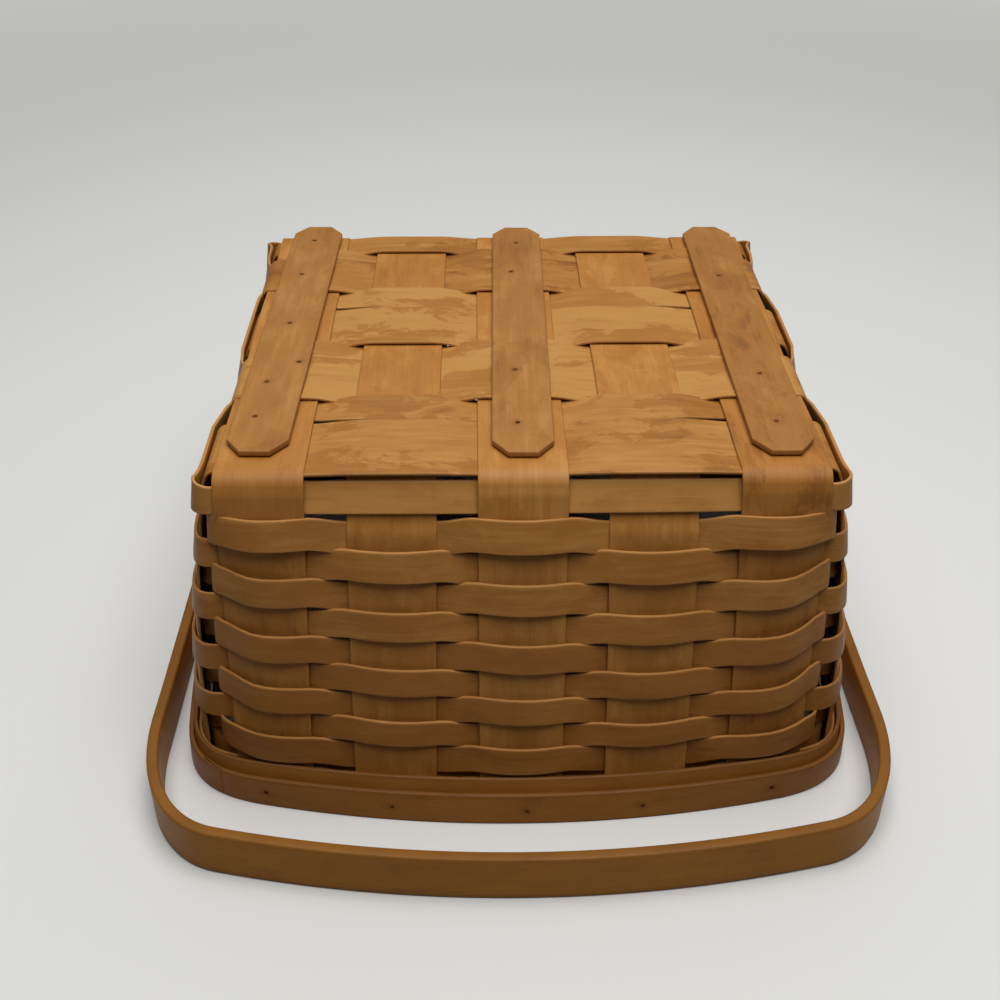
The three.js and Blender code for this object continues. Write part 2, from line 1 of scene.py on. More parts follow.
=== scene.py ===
"""Looks of a woven splint picnic basket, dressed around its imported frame.

The basket stands upside down on its rim with the handle lowered in front. Sizes are written in
millimetres and become metres when a mesh is made. Every wall piece takes its place from one map
between the square line of the base and the bowed line of the rim.
"""

import logging
import math
from dataclasses import dataclass, field, replace
from enum import Enum, IntEnum
from typing import Optional, Sequence, Union

import bmesh
import bpy
import numpy as np
from mathutils import Matrix, Vector


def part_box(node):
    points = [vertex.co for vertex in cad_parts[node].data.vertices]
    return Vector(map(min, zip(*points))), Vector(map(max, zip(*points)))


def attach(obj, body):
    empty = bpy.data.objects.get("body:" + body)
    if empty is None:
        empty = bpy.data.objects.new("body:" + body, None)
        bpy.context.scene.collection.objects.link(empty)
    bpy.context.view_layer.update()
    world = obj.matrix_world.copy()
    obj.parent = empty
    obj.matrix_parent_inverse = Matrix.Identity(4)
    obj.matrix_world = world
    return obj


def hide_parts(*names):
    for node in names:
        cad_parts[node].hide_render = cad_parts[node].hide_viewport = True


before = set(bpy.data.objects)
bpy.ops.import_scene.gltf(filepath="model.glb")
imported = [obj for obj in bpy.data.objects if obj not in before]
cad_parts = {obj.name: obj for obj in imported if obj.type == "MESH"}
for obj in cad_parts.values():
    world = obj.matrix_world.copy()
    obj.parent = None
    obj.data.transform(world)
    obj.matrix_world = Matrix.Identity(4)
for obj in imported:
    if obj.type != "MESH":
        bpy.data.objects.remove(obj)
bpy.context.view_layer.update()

LOG = logging.getLogger("basket")
MM = 0.001
IMAGE_SIZE = 1000  # pixels along each side of the picture

Array = np.ndarray
Number = Union[int, float]
Pair = tuple[float, float]
Triple = tuple[float, float, float]
Colour = Triple
Outline = Sequence[Pair]  # radius and distance along the axis of a turned piece
Spot = tuple[Array, Array]  # place and direction of a nail or rivet
Edges = Sequence[Array]  # both edges of a strip at each station, and their radii
Sockets = dict[Union[str, int], object]
Material, Socket, Thing = bpy.types.Material, bpy.types.NodeSocket, bpy.types.Object


class Body(Enum):
    """Bodies of the frame that pieces ride on."""

    BASKET = "basket"
    HANDLE = "handle"


class Slot(Enum):
    """Material slots of the record."""

    SPLINT = "splint"
    WEAVER = "weaver"
    RIM = "rim"
    RUNNER = "runner"
    HANDLE = "handle"
    RIVET = "rivet"


class Face(IntEnum):
    """Walls of the basket, counted from the front one to the right."""

    FRONT = 0
    RIGHT = 1
    BACK = 2
    LEFT = 3


LONG_WALLS = (Face.FRONT, Face.BACK)
SIDE_WALLS = (Face.LEFT, Face.RIGHT)


class Axis(IntEnum):
    """Axes that splints run along on the base."""

    X = 0
    Y = 1


def srgb(red: int, green: int, blue: int) -> Colour:
    """Turns a colour as seen on a screen into the linear one that shaders take.

    Args:
        red: Red from 0 to 255.
        green: Green from 0 to 255.
        blue: Blue from 0 to 255.

    Returns:
        The linear colour.
    """
    def linear(level: int) -> float:
        """One channel."""
        share = level / 255
        return share / 12.92 if share <= 0.04045 else ((share + 0.055) / 1.055) ** 2.4

    return linear(red), linear(green), linear(blue)


def smooth(low: float, high: float, value: Array) -> Array:
    """Rises softly from 0 where the value is low to 1 where it is high."""
    share = np.clip((value - low) / (high - low), 0, 1)
    return share * share * (3 - 2 * share)


def hump(value: Array, centre: float, width: float) -> Array:
    """A soft hump of height 1."""
    return np.exp(-(((value - centre) / width) ** 2))


def unit(vectors: Array) -> Array:
    """Vectors made one unit long."""
    return vectors / np.linalg.norm(vectors, axis=-1)[..., None]


OWN_NUMBERS = (1, 9)  # least and most


def own_number(seeds: np.random.Generator) -> float:
    """Draws the number that sets the grain of one strip apart from the others."""
    return float(seeds.uniform(*OWN_NUMBERS))


# Shaders

NOISE_MIDDLE = 0.5


class Value:
    """A shader socket that takes part in Python expressions."""

    def __init__(self, graph: "Graph", socket: Socket) -> None:
        """Wraps one output socket of a graph."""
        self.graph = graph
        self.socket = socket

    def __add__(self, other: "Term") -> "Value":
        """Sum."""
        return self.graph.maths("ADD", self, other)

    def __radd__(self, other: "Term") -> "Value":
        """Sum with a number in front."""
        return self.graph.maths("ADD", other, self)

    def __sub__(self, other: "Term") -> "Value":
        """Difference."""
        return self.graph.maths("SUBTRACT", self, other)

    def __rsub__(self, other: "Term") -> "Value":
        """Difference from a number."""
        return self.graph.maths("SUBTRACT", other, self)

    def __mul__(self, other: "Term") -> "Value":
        """Product."""
        return self.graph.maths("MULTIPLY", self, other)

    def __rmul__(self, other: "Term") -> "Value":
        """Product with a number in front."""
        return self.graph.maths("MULTIPLY", other, self)

    def centred(self) -> "Value":
        """A noise, measured from its middle."""
        return self - NOISE_MIDDLE

    def most(self, other: "Term") -> "Value":
        """The larger of two values."""
        return self.graph.maths("MAXIMUM", self, other)

    def ramp(self, low: float, high: float) -> "Value":
        """Rises softly from 0 at low to 1 at high, or falls where low is above high.

        Args:
            low: Where the result is 0.
            high: Where the result is 1.

        Returns:
            The mapped value.
        """
        sockets = {"Value": self, "From Min": low, "From Max": high}
        made = self.graph.node("ShaderNodeMapRange", {"interpolation_type": "SMOOTHSTEP"}, sockets)
        return Value(self.graph, made.outputs["Result"])


Term = Union[Value, Number]


class Graph:
    """Node tree of one material or world, built from expressions."""

    def __init__(self, owner: Union[Material, bpy.types.World]) -> None:
        """Starts with an empty tree.

        Args:
            owner: Material or world that the tree belongs to.
        """
        self.owner = owner
        owner.use_nodes = True
        self.tree = owner.node_tree
        self.tree.nodes.clear()

    def node(
        self, kind: str, settings: Optional[dict[str, object]] = None, sockets: Optional[Sockets] = None
    ) -> bpy.types.Node:
        """Adds a node.

        Args:
            kind: Type of the node.
            settings: Its settings, which are set first.
            sockets: Values or links of its inputs, by name or number.

        Returns:
            The node.
        """
        made = self.tree.nodes.new(kind)
        for key, setting in (settings or {}).items():
            setattr(made, key, setting)
        for key, given in (sockets or {}).items():
            source = given.socket if isinstance(given, Value) else given
            if isinstance(source, Socket):
                self.tree.links.new(source, made.inputs[key])
            else:
                made.inputs[key].default_value = given
        return made

    def maths(self, operation: str, first: Term, second: Term) -> Value:
        """Adds a Math node for two values."""
        made = self.node("ShaderNodeMath", {"operation": operation}, {0: first, 1: second})
        return Value(self, made.outputs[0])

    def attribute(self, name: str, output: str = "Fac") -> Socket:
        """Reads a value that the mesh holds at its points."""
        return self.node("ShaderNodeAttribute", {"attribute_name": name}).outputs[output]

    def parts(self, vector: Socket) -> list[Value]:
        """The three coordinates of a vector."""
        made = self.node("ShaderNodeSeparateXYZ", None, {0: vector})
        return [Value(self, made.outputs[k]) for k in range(3)]

    def noise(self, point: Sequence[Term], detail: float = 2.0, roughness: float = 0.5) -> Value:
        """Adds a noise texture.

        Args:
            point: Three coordinates, already scaled.
            detail: Levels of finer noise.
            roughness: How strong the finer levels are.

        Returns:
            Noise around 0.5.
        """
        place = self.node("ShaderNodeCombineXYZ", None, dict(enumerate(point)))
        sockets = {"Vector": place.outputs[0], "Scale": 1.0, "Detail": detail, "Roughness": roughness}
        made = self.node("ShaderNodeTexNoise", {"noise_dimensions": "3D"}, sockets)
        return Value(self, made.outputs["Fac"])

    def blend(self, factor: Term, first: object, second: object) -> Socket:
        """Mixes two colours.

        Args:
            factor: Share of the second one.
            first: First colour, or a socket with it.
            second: Second colour, or a socket with it.

        Returns:
            Socket with the mixed colour.
        """
        def colour(given: object) -> object:
            """A colour with the alpha that the socket wants."""
            return (*given, 1.0) if isinstance(given, tuple) else given

        settings = {"data_type": "RGBA", "clamp_factor": True}
        sockets = {0: factor, 6: colour(first), 7: colour(second)}  # 6, 7 and output 2 are the colours
        return self.node("ShaderNodeMix", settings, sockets).outputs[2]

    def bump(self, height: Value, strength: float, depth: float) -> Socket:
        """Normal of a surface with a relief."""
        sockets = {"Strength": strength, "Distance": depth, "Height": height}
        return self.node("ShaderNodeBump", None, sockets).outputs[0]

    def surface(self, sockets: Sockets) -> Material:
        """Ends the graph with a Principled surface.

        Args:
            sockets: Values or links of its inputs.

        Returns:
            The material.
        """
        shader = self.node("ShaderNodeBsdfPrincipled", None, sockets)
        self.node("ShaderNodeOutputMaterial", None, {"Surface": shader.outputs[0]})
        return self.owner


@dataclass(frozen=True)
class Grain:
    """A noise, and how often it changes in a metre along each of three coordinates."""

    scales: Triple
    detail: float = 2.0
    roughness: float = 0.5

    def draw(self, g: Graph, spot: Sequence[Value], *shifts: Term) -> Value:
        """Draws the noise.

        Args:
            g: Graph that it is drawn in.
            spot: The coordinates: on wood the places along and across a strip and its own number.
            shifts: What is added to the first coordinate, and to the second.

        Returns:
            Noise around its middle.
        """
        point = [place * scale for place, scale in zip(spot, self.scales)]
        for k, shift in enumerate(shifts):
            point[k] = point[k] + shift
        return g.noise(point, self.detail, self.roughness)


FIBRE = Grain((22, 1300, 7.3), 4, 0.6)
STREAK = Grain((40, 330, 3.1), 3, 0.55)
DRIFT = Grain((9, 40, 2.3))
BLOTCH = Grain((40, 90, 5.7), 4, 0.62)
POOL = Grain((17, 30, 8.9), 6, 0.7)
FLECK = Grain((130, 900, 4.9))
TARNISH = Grain((420, 420, 420), 4, 0.6)
PITS = Grain((2600, 2600, 2600))
STRIP_SCALE = 91.7  # how fast the tone changes from one strip's own number to the next
STREAK_WARP = 0.2  # fibres bend the streaks by this much
POOL_WARP = 0.6  # and blotches the edges of pooled stain
POOL_EDGE = (0.5, 0.54)  # noise at the edge of pooled stain
FLECK_EDGE = (0.66, 0.78)  # and of flecks


@dataclass(frozen=True)
class WoodFinish:
    """Stained hardwood with fibres along each strip."""

    name: str
    dark: Colour
    middle: Colour
    light: Colour
    edge: Colour
    stain: Colour
    fibre: float = 0.2  # how much the tone changes with fibres, streaks, blotches and whole strips
    streak: float = 0.24
    blotch: float = 0.4
    shift: float = 0.24
    fleck: float = 0.12  # how much darker flecks are
    patch: float = 0.0  # how much darker the stain is where it pooled
    worn: float = 0.3  # how much of the edge colour shows on the edges
    dark_span: Pair = (0.02, 0.52)  # tones from the dark to the middle colour
    light_span: Pair = (0.48, 0.98)  # and on to the light one
    relief: Triple = (0.6, 0.5, 0.4)  # of fibres, streaks and blotches
    bump: Pair = (0.22, 0.0004)  # strength and depth in metres
    roughness: float = 0.5
    fibre_roughness: float = 0.3
    mark_roughness: float = 0.2
    gloss: float = 0.24
    coat: float = 0.04
    coat_roughness: float = 0.4

    def dress(self) -> Material:
        """Builds the material.

        Returns:
            The material, which reads the points' grain, edge, mark and tone.
        """
        g = Graph(bpy.data.materials.new(self.name))
        spot = g.parts(g.attribute("grain", "Vector"))
        # own is the tone attribute: painted light and shade, strip by strip
        edge, mark, own = (Value(g, g.attribute(key)) for key in ("edge", "mark", "tone"))
        fibre = FIBRE.draw(g, spot)
        streak = STREAK.draw(g, spot, fibre * STREAK_WARP)
        drift = DRIFT.draw(g, spot)
        blotch = BLOTCH.draw(g, spot, drift, drift)
        pool = POOL.draw(g, spot, drift, blotch * POOL_WARP).ramp(*POOL_EDGE)
        strip = g.noise((spot[2] * STRIP_SCALE, 0.5, 0.5), 0)
        fleck = FLECK.draw(g, spot).ramp(*FLECK_EDGE)
        tone = (
            NOISE_MIDDLE + fibre.centred() * (self.fibre * 2) + streak.centred() * (self.streak * 2)
            + blotch.centred() * (self.blotch * 2) + strip.centred() * (self.shift * 2)
            - fleck * self.fleck - pool.centred() * self.patch + own
        )
        warm = g.blend(tone.ramp(*self.dark_span), self.dark, self.middle)
        wood = g.blend(tone.ramp(*self.light_span), warm, self.light)
        worn = g.blend(edge * (blotch + NOISE_MIDDLE) * self.worn, wood, self.edge)
        fibre_relief, streak_relief, blotch_relief = self.relief
        relief = fibre * fibre_relief + streak * streak_relief + blotch * blotch_relief
        return g.surface({
            "Base Color": g.blend(mark, worn, self.stain),
            "Roughness": (
                self.roughness + fibre.centred() * self.fibre_roughness + mark * self.mark_roughness
            ),
            "Normal": g.bump(relief, *self.bump),
            "Coat Weight": self.coat,
            "Coat Roughness": self.coat_roughness,
            "Specular IOR Level": self.gloss,
        })


@dataclass(frozen=True)
class MetalFinish:
    """Dull metal with a tarnish that gathers in patches."""

    name: str
    clean: Colour
    tarnish: Colour
    roughness: float = 0.38
    metal: float = 1.0
    gloss: float = 0.5
    colour_edge: Pair = (0.4, 0.68)  # noise where the tarnish starts and is full
    dull_edge: Pair = (0.5, 0.8)  # and where it hides the metal
    dull: float = 0.4  # how much of the metal it hides
    patch_roughness: float = 0.5
    bump: Pair = (0.15, 0.0002)  # strength and depth in metres

    def dress(self) -> Material:
        """Builds the material.

        Returns:
            The material.
        """
        g = Graph(bpy.data.materials.new(self.name))
        spot = g.parts(g.node("ShaderNodeTexCoord").outputs["Object"])
        patch = TARNISH.draw(g, spot)
        return g.surface({
            "Base Color": g.blend(patch.ramp(*self.colour_edge), self.clean, self.tarnish),
            "Metallic": self.metal * (1.0 - patch.ramp(*self.dull_edge) * self.dull),
            "Roughness": self.roughness + patch.centred() * self.patch_roughness,
            "Normal": g.bump(PITS.draw(g, spot) + patch, *self.bump),
            "Specular IOR Level": self.gloss,
        })


STAIN = srgb(84, 50, 24)
BOARD_WOOD = WoodFinish(
    "board_wood", srgb(140, 87, 36), srgb(171, 114, 51), srgb(193, 140, 73), srgb(186, 132, 72), STAIN,
    fibre=0.2, streak=0.28, blotch=0.3, patch=0.34,
)
UPRIGHT_WOOD = WoodFinish(
    "upright_wood", srgb(144, 89, 36), srgb(179, 119, 53), srgb(200, 144, 75), srgb(186, 130, 68), STAIN,
    patch=0.16,
)
# Painted shade: a little darker and more saturated than the board wood, for the shaded walls.
WEAVER_WOOD = WoodFinish(
    "weaver_wood", srgb(134, 82, 34), srgb(167, 109, 47), srgb(190, 134, 68), srgb(196, 142, 80), STAIN,
    patch=0.1, worn=0.4,
)
RIM_WOOD = WoodFinish(
    "rim_wood", srgb(138, 84, 28), srgb(172, 112, 42), srgb(193, 135, 60), srgb(120, 76, 34), STAIN,
    shift=0.15, patch=0.1, worn=0.9,
)
RUNNER_WOOD = WoodFinish(
    "runner_wood", srgb(136, 88, 41), srgb(166, 112, 53), srgb(186, 135, 74), srgb(160, 110, 60), STAIN,
    blotch=0.4, shift=0.2, patch=0.2, roughness=0.54,
)
HANDLE_WOOD = WoodFinish(
    "handle_wood", srgb(151, 95, 28), srgb(189, 124, 38), srgb(210, 148, 55), srgb(128, 82, 30), STAIN,
    shift=0.1, patch=0.1, worn=0.8, coat=0.02,
)
BRASS = MetalFinish("dull_brass", srgb(190, 158, 96), srgb(110, 84, 46))
IRON = MetalFinish("nail_iron", srgb(112, 66, 32), srgb(78, 46, 24), roughness=0.85, metal=0.0, gloss=0.08)


# Meshes

MARK_DEPTH = 0.5  # how much of the stain shows right at a nail


@dataclass
class Strip:
    """A closed skin round a bent strip: stations along it, points across it, and a thickness."""

    middle: Array  # stations x points x 3, in millimetres
    normal: Array  # the same shape, unit length
    half: Array  # stations x points, half the thickness
    across: Array  # stations x points, place across the strip
    edge: Array  # points, 1 on the worn edges
    seed: float
    marks: Sequence[tuple[Vector, float]] = ()
    # Painted light and shade, strip by strip, which the finish reads as the tone attribute.
    tone: float = 0.0  # how much lighter than the finish

    def points(self) -> Array:
        """Skin points, station by station: the outer side and back along the inner side."""
        lift = self.normal * self.half[..., None]
        return np.concatenate([self.middle + lift, (self.middle - lift)[:, ::-1]], axis=1)

    def grain(self) -> Array:
        """Coordinates for the fibres.

        Returns:
            Length along the strip, place across it and its own number, for every skin point.
        """
        spine = self.middle[:, self.middle.shape[1] // 2]
        steps = np.linalg.norm(np.diff(spine, axis=0), axis=1)
        along = np.concatenate([[0.0], np.cumsum(steps)])
        length = np.broadcast_to(along[:, None], self.across.shape)
        own = np.full(self.across.shape, self.seed / MM)
        side = np.stack([length, self.across, own], axis=-1)
        return np.concatenate([side, side[:, ::-1]], axis=1)

    def mark(self, points: Array) -> Array:
        """How stained the skin is by the nails near it.

        Args:
            points: Skin points.

        Returns:
            Share of the stain at each point.
        """
        amount = np.zeros(points.shape[:-1])
        for place, radius in self.marks:
            distance = np.linalg.norm(points - np.array(place), axis=-1)
            amount = np.maximum(amount, hump(distance, 0.0, radius))
        return amount * MARK_DEPTH

    def attributes(self, points: Array) -> dict[str, Array]:
        """What the finish reads at each point.

        Args:
            points: Skin points.

        Returns:
            Values at the points, by name.
        """
        both = np.concatenate([self.edge, self.edge[::-1]])
        return {
            "grain": self.grain().reshape(-1, 3) * MM,
            "edge": np.tile(both, len(points)),
            "mark": self.mark(points).ravel(),
            # painted light and shade of each strip
            "tone": np.full(len(points) * len(both), self.tone),
        }

    def faces(self, points: Array) -> list[tuple[int, ...]]:
        """Faces of the skin, with both ends closed.

        Args:
            points: Skin points.

        Returns:
            Numbers of each face's points, in the order that turns it outwards.
        """
        rows, columns = self.across.shape
        loop = 2 * columns
        faces = []
        for i in range(rows - 1):
            for j in range(loop):
                k = (j + 1) % loop
                faces.append((i * loop + j, i * loop + k, (i + 1) * loop + k, (i + 1) * loop + j))
        for base, flip in ((0, True), ((rows - 1) * loop, False)):
            for j in range(columns - 1):
                back = loop - 1 - j
                cap = (base + j, base + j + 1, base + back - 1, base + back)
                faces.append(cap[::-1] if flip else cap)
        corner = points.reshape(-1, 3)[np.array(faces)[:, :3]]
        volume = np.einsum("ij,ij->i", corner[:, 0], np.cross(corner[:, 1], corner[:, 2])).sum()
        return [face[::-1] for face in faces] if volume < 0 else faces


def linked(name: str, data: bpy.types.ID) -> Thing:
    """Adds an object to the scene.

    Args:
        name: Name of the object.
        data: Its mesh, light or camera.

    Returns:
        The object.
    """
    made = bpy.data.objects.new(name, data)
    bpy.context.scene.collection.objects.link(made)
    return made


def mesh_object(
    name: str, points: Array, faces: Sequence[tuple[int, ...]], material: Material
) -> Thing:
    """Makes an object with smooth faces, in the frame.

    Args:
        name: Name of the object.
        points: Its points in millimetres, measured from the middle of the basket.
        faces: Numbers of each face's points.
        material: Its finish.

    Returns:
        The object.
    """
    mesh = bpy.data.meshes.new(name)
    mesh.from_pydata(((points + np.array([0.0, CENTRE_Y, 0.0])) * MM).tolist(), [], faces)
    mesh.polygons.foreach_set("use_smooth", np.ones(len(mesh.polygons), dtype=bool))
    mesh.materials.append(material)
    return linked(name, mesh)


def skin_object(name: str, strips: Sequence[Strip], material: Material) -> Thing:
    """Makes one object from strips.

    Args:
        name: Name of the object.
        strips: Its strips.
        material: Its finish.

    Returns:
        The object.
    """
    points, faces, values = [], [], []
    start = 0
    for strip in strips:
        skin = strip.points()
        points.append(skin.reshape(-1, 3))
        faces += [tuple(k + start for k in face) for face in strip.faces(skin)]
        values.append(strip.attributes(skin))
        start += len(points[-1])
    made = mesh_object(name, np.concatenate(points), faces, material)
    for key in values[0]:
        held = np.concatenate([each[key] for each in values]).astype(np.float32)
        kind, member = ("FLOAT_VECTOR", "vector") if held.ndim > 1 else ("FLOAT", "value")
        made.data.attributes.new(key, kind, "POINT").data.foreach_set(member, held.ravel())
    return made


def install(piece: Thing, body: Body, slot: Slot, *nodes: str) -> None:
    """Puts a piece on its body in place of its nodes.

    Args:
        piece: The piece.
        body: Body that it rides on.
        slot: Material slot of its finish; not used.
        nodes: Nodes that it stands for.
    """
    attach(piece, body.value)
    if nodes:
        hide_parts(*nodes)
    LOG.info("%s rides on %s for %s", piece.name, body.value, ", ".join(nodes) or "no node")


def install_wood(
    node: str, strips: Sequence[Strip], wood: Material, slot: Slot, body: Body = Body.BASKET
) -> None:
    """Puts strips in place of a wooden node."""
    install(skin_object(f"{node}_wood", strips, wood), body, slot, node)


EDGE_ANGLES = np.radians([0.0, 30.0, 60.0, 90.0])
EDGE_REST = 2.6  # the wear of an edge ends this many radii in
EDGE_RUN = np.append(1 - np.cos(EDGE_ANGLES), EDGE_REST)
EDGE_FALL = np.append(1 - np.sin(EDGE_ANGLES), 0.0)
EDGE_WEAR = np.array([1.0, 1.0, 0.9, 0.5, 0.0])


def across_strip(edges: Edges, inner: int) -> tuple[Array, Array, Array]:
    """Places points across a strip with rounded edges.

    Args:
        edges: Places of both edges at each station, and their radii.
        inner: Points between the edges.

    Returns:
        Places across, how much the half thickness drops there, and how worn each point is.
    """
    low, high, low_round, high_round = (edge[:, None] for edge in edges)
    left = low + low_round * EDGE_RUN
    right = high - high_round * EDGE_RUN[::-1]
    share = np.linspace(0, 1, inner + 2)[1:-1]
    between = left[:, -1:] + (right[:, :1] - left[:, -1:]) * share
    fall = [low_round * EDGE_FALL, np.zeros_like(between), high_round * EDGE_FALL[::-1]]
    wear = np.concatenate([EDGE_WEAR, np.zeros(inner), EDGE_WEAR[::-1]])
    return np.concatenate([left, between, right], axis=1), np.concatenate(fall, axis=1), wear


# The wall, on which most pieces lie


def bezier(points: Sequence[Pair], steps: int = 200) -> Array:
    """Points along a Bezier curve.

    Args:
        points: Its control points.
        steps: How many pieces it is cut into.

    Returns:
        Points along the curve.
    """
    share = np.linspace(0, 1, steps + 1)[:, None]
    level = [np.array(point)[None, :] + 0 * share for point in points]
    while len(level) > 1:
        level = [a + (b - a) * share for a, b in zip(level, level[1:])]
    return level[0]


class PlanLoop:
    """A closed plan line, alike in all four quarters, measured along itself from the front middle."""

    STEPS = 800  # in a quarter
    SPAN = 3  # steps on each side of a point that its normal takes in

    def __init__(self, quarter: Array) -> None:
        """Closes the line.

        Args:
            quarter: Points of its front right quarter, from the front middle to the right middle.
        """
        mirror_y, mirror_x = np.array([1, -1]), np.array([-1, 1])
        half = np.concatenate([quarter, (quarter * mirror_y)[::-1][1:]])
        line = np.concatenate([half, (half * mirror_x)[::-1][1:]])
        length = np.concatenate([[0], np.cumsum(np.linalg.norm(np.diff(line, axis=0), axis=1))])
        self.total = float(length[-1])
        self.quarter = self.total / 4
        self.grid = np.linspace(0, self.total, 4 * self.STEPS + 1)
        self.line = np.stack([np.interp(self.grid, length, line[:, k]) for k in range(2)], axis=1)
        span = self.SPAN
        closed = np.concatenate([self.line[-span - 1:-1], self.line, self.line[1:span + 1]])
        along = unit(closed[2 * span:] - closed[:-2 * span])
        self.normal = np.stack([along[:, 1], -along[:, 0]], axis=1)

    def at(self, s: Array) -> tuple[Array, Array]:
        """Points and outward normals at lengths along the line.

        Args:
            s: Lengths, of any shape.

        Returns:
            Points and normals, with two numbers more in the shape.
        """
        place = np.mod(s, self.total)
        point = np.stack([np.interp(place, self.grid, self.line[:, k]) for k in range(2)], axis=-1)
        normal = np.stack([np.interp(place, self.grid, self.normal[:, k]) for k in range(2)], axis=-1)
        return point, normal


@dataclass(frozen=True)
class Sizes:
    """Driving sizes of the basket in millimetres.

    They are those of its frame, but for rim_round and tongue_setback, which are given here.
    """

    height: float = 146.5
    base_width: float = 230.0
    base_depth: float = 214.0
    base_corner: float = 4.0
    rim_width: float = 286.8
    rim_depth: float = 268.0
    rim_bow_front: float = 11.0
    rim_bow_side: float = 6.6
    rim_corner: float = 36.0
    rim_round: float = 0.4
    wall_bow: float = 3.0
    splint: float = 1.3
    splint_width: float = 32.0
    splint_count: int = 5
    corner_room: float = 3.95
    upright_spread: float = 5.6
    bend: float = 2.0
    filler_width: float = 17.0
    board_weights: tuple[float, ...] = (1.12, 0.945, 1.055, 0.88)
    board_gap: float = 2.6
    tongue_setback: float = 1.0
    slit_length: float = 36.8
    slit_mouth: float = 1.0
    upright_end: float = 1.0
    weaver: float = 1.3
    weaver_height: float = 11.6
    row_gap: float = 0.4
    first_row_top: float = 3.1
    first_row_gap: float = 1.4
    rim_row_height: float = 5.0
    rim_row_drop: float = 1.0
    rim_gap: float = 2.5
    strip: float = 1.6
    strip_height: float = 20.6
    band: float = 2.0
    band_height: float = 14.4
    inner_band: float = 3.0
    inner_band_height: float = 20.6
    scarf_tip: float = 0.4
    runner_width: float = 22.4
    runner_inset: float = 6.0
    runner: float = 2.2
    runner_clip: Pair = (5.8, 8.0)
    handle: float = 4.5
    handle_width: float = 20.0
    handle_reach: float = 169.0
    handle_leg: float = 92.0
    handle_corner: float = 32.0
    handle_bow: float = 13.5
    handle_round: float = 0.62
    fit: float = 0.3

    @property
    def weave_face(self) -> float:
        """From the middle of the wall to the outer face of a tight weaver."""
        return self.splint / 2 + self.fit + self.weaver

    @property
    def strip_back(self) -> float:
        """From the middle of the wall to the back of the rim strip."""
        return self.weave_face + self.fit

    @property
    def band_back(self) -> float:
        """From the middle of the wall to the back of the outer rim band."""
        return self.strip_back + self.strip + self.fit

    @property
    def band_face(self) -> float:
        """From the middle of the wall to the face of the outer rim band."""
        return self.band_back + self.band

    @property
    def base_level(self) -> float:
        """Height of the middle of the woven base."""
        return self.height - self.splint - self.fit / 2

    @property
    def wall_top(self) -> float:
        """Height above which the walls stand upright."""
        return self.height - 1.5 * self.splint - self.fit - self.bend

    @property
    def wall_x(self) -> float:
        """Half width of the wall line at the base."""
        return self.base_width / 2 - self.weave_face

    @property
    def wall_y(self) -> float:
        """Half depth of the wall line at the base."""
        return self.base_depth / 2 - self.weave_face

    @property
    def outermost(self) -> float:
        """Middle of the outermost lengthwise splint."""
        return self.wall_x - self.corner_room - self.splint_width / 2

    @property
    def pitch(self) -> float:
        """Spacing of the lengthwise splints on the base."""
        return 2 * self.outermost / (self.splint_count - 1)


SIZES = Sizes()
CENTRE_Y = sum(corner.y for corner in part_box("rim_strip")) / 2 / MM


@dataclass(frozen=True)
class Board:
    """Edges of a cross splint on the base, and of the upright that its ends become."""

    front: float
    back: float
    tongue_front: float
    tongue_back: float


@dataclass(frozen=True)
class Upright:
    """An upright of the wall: its wall, counted from the front, and its edges along that wall."""

    wall: Face
    low: float
    high: float


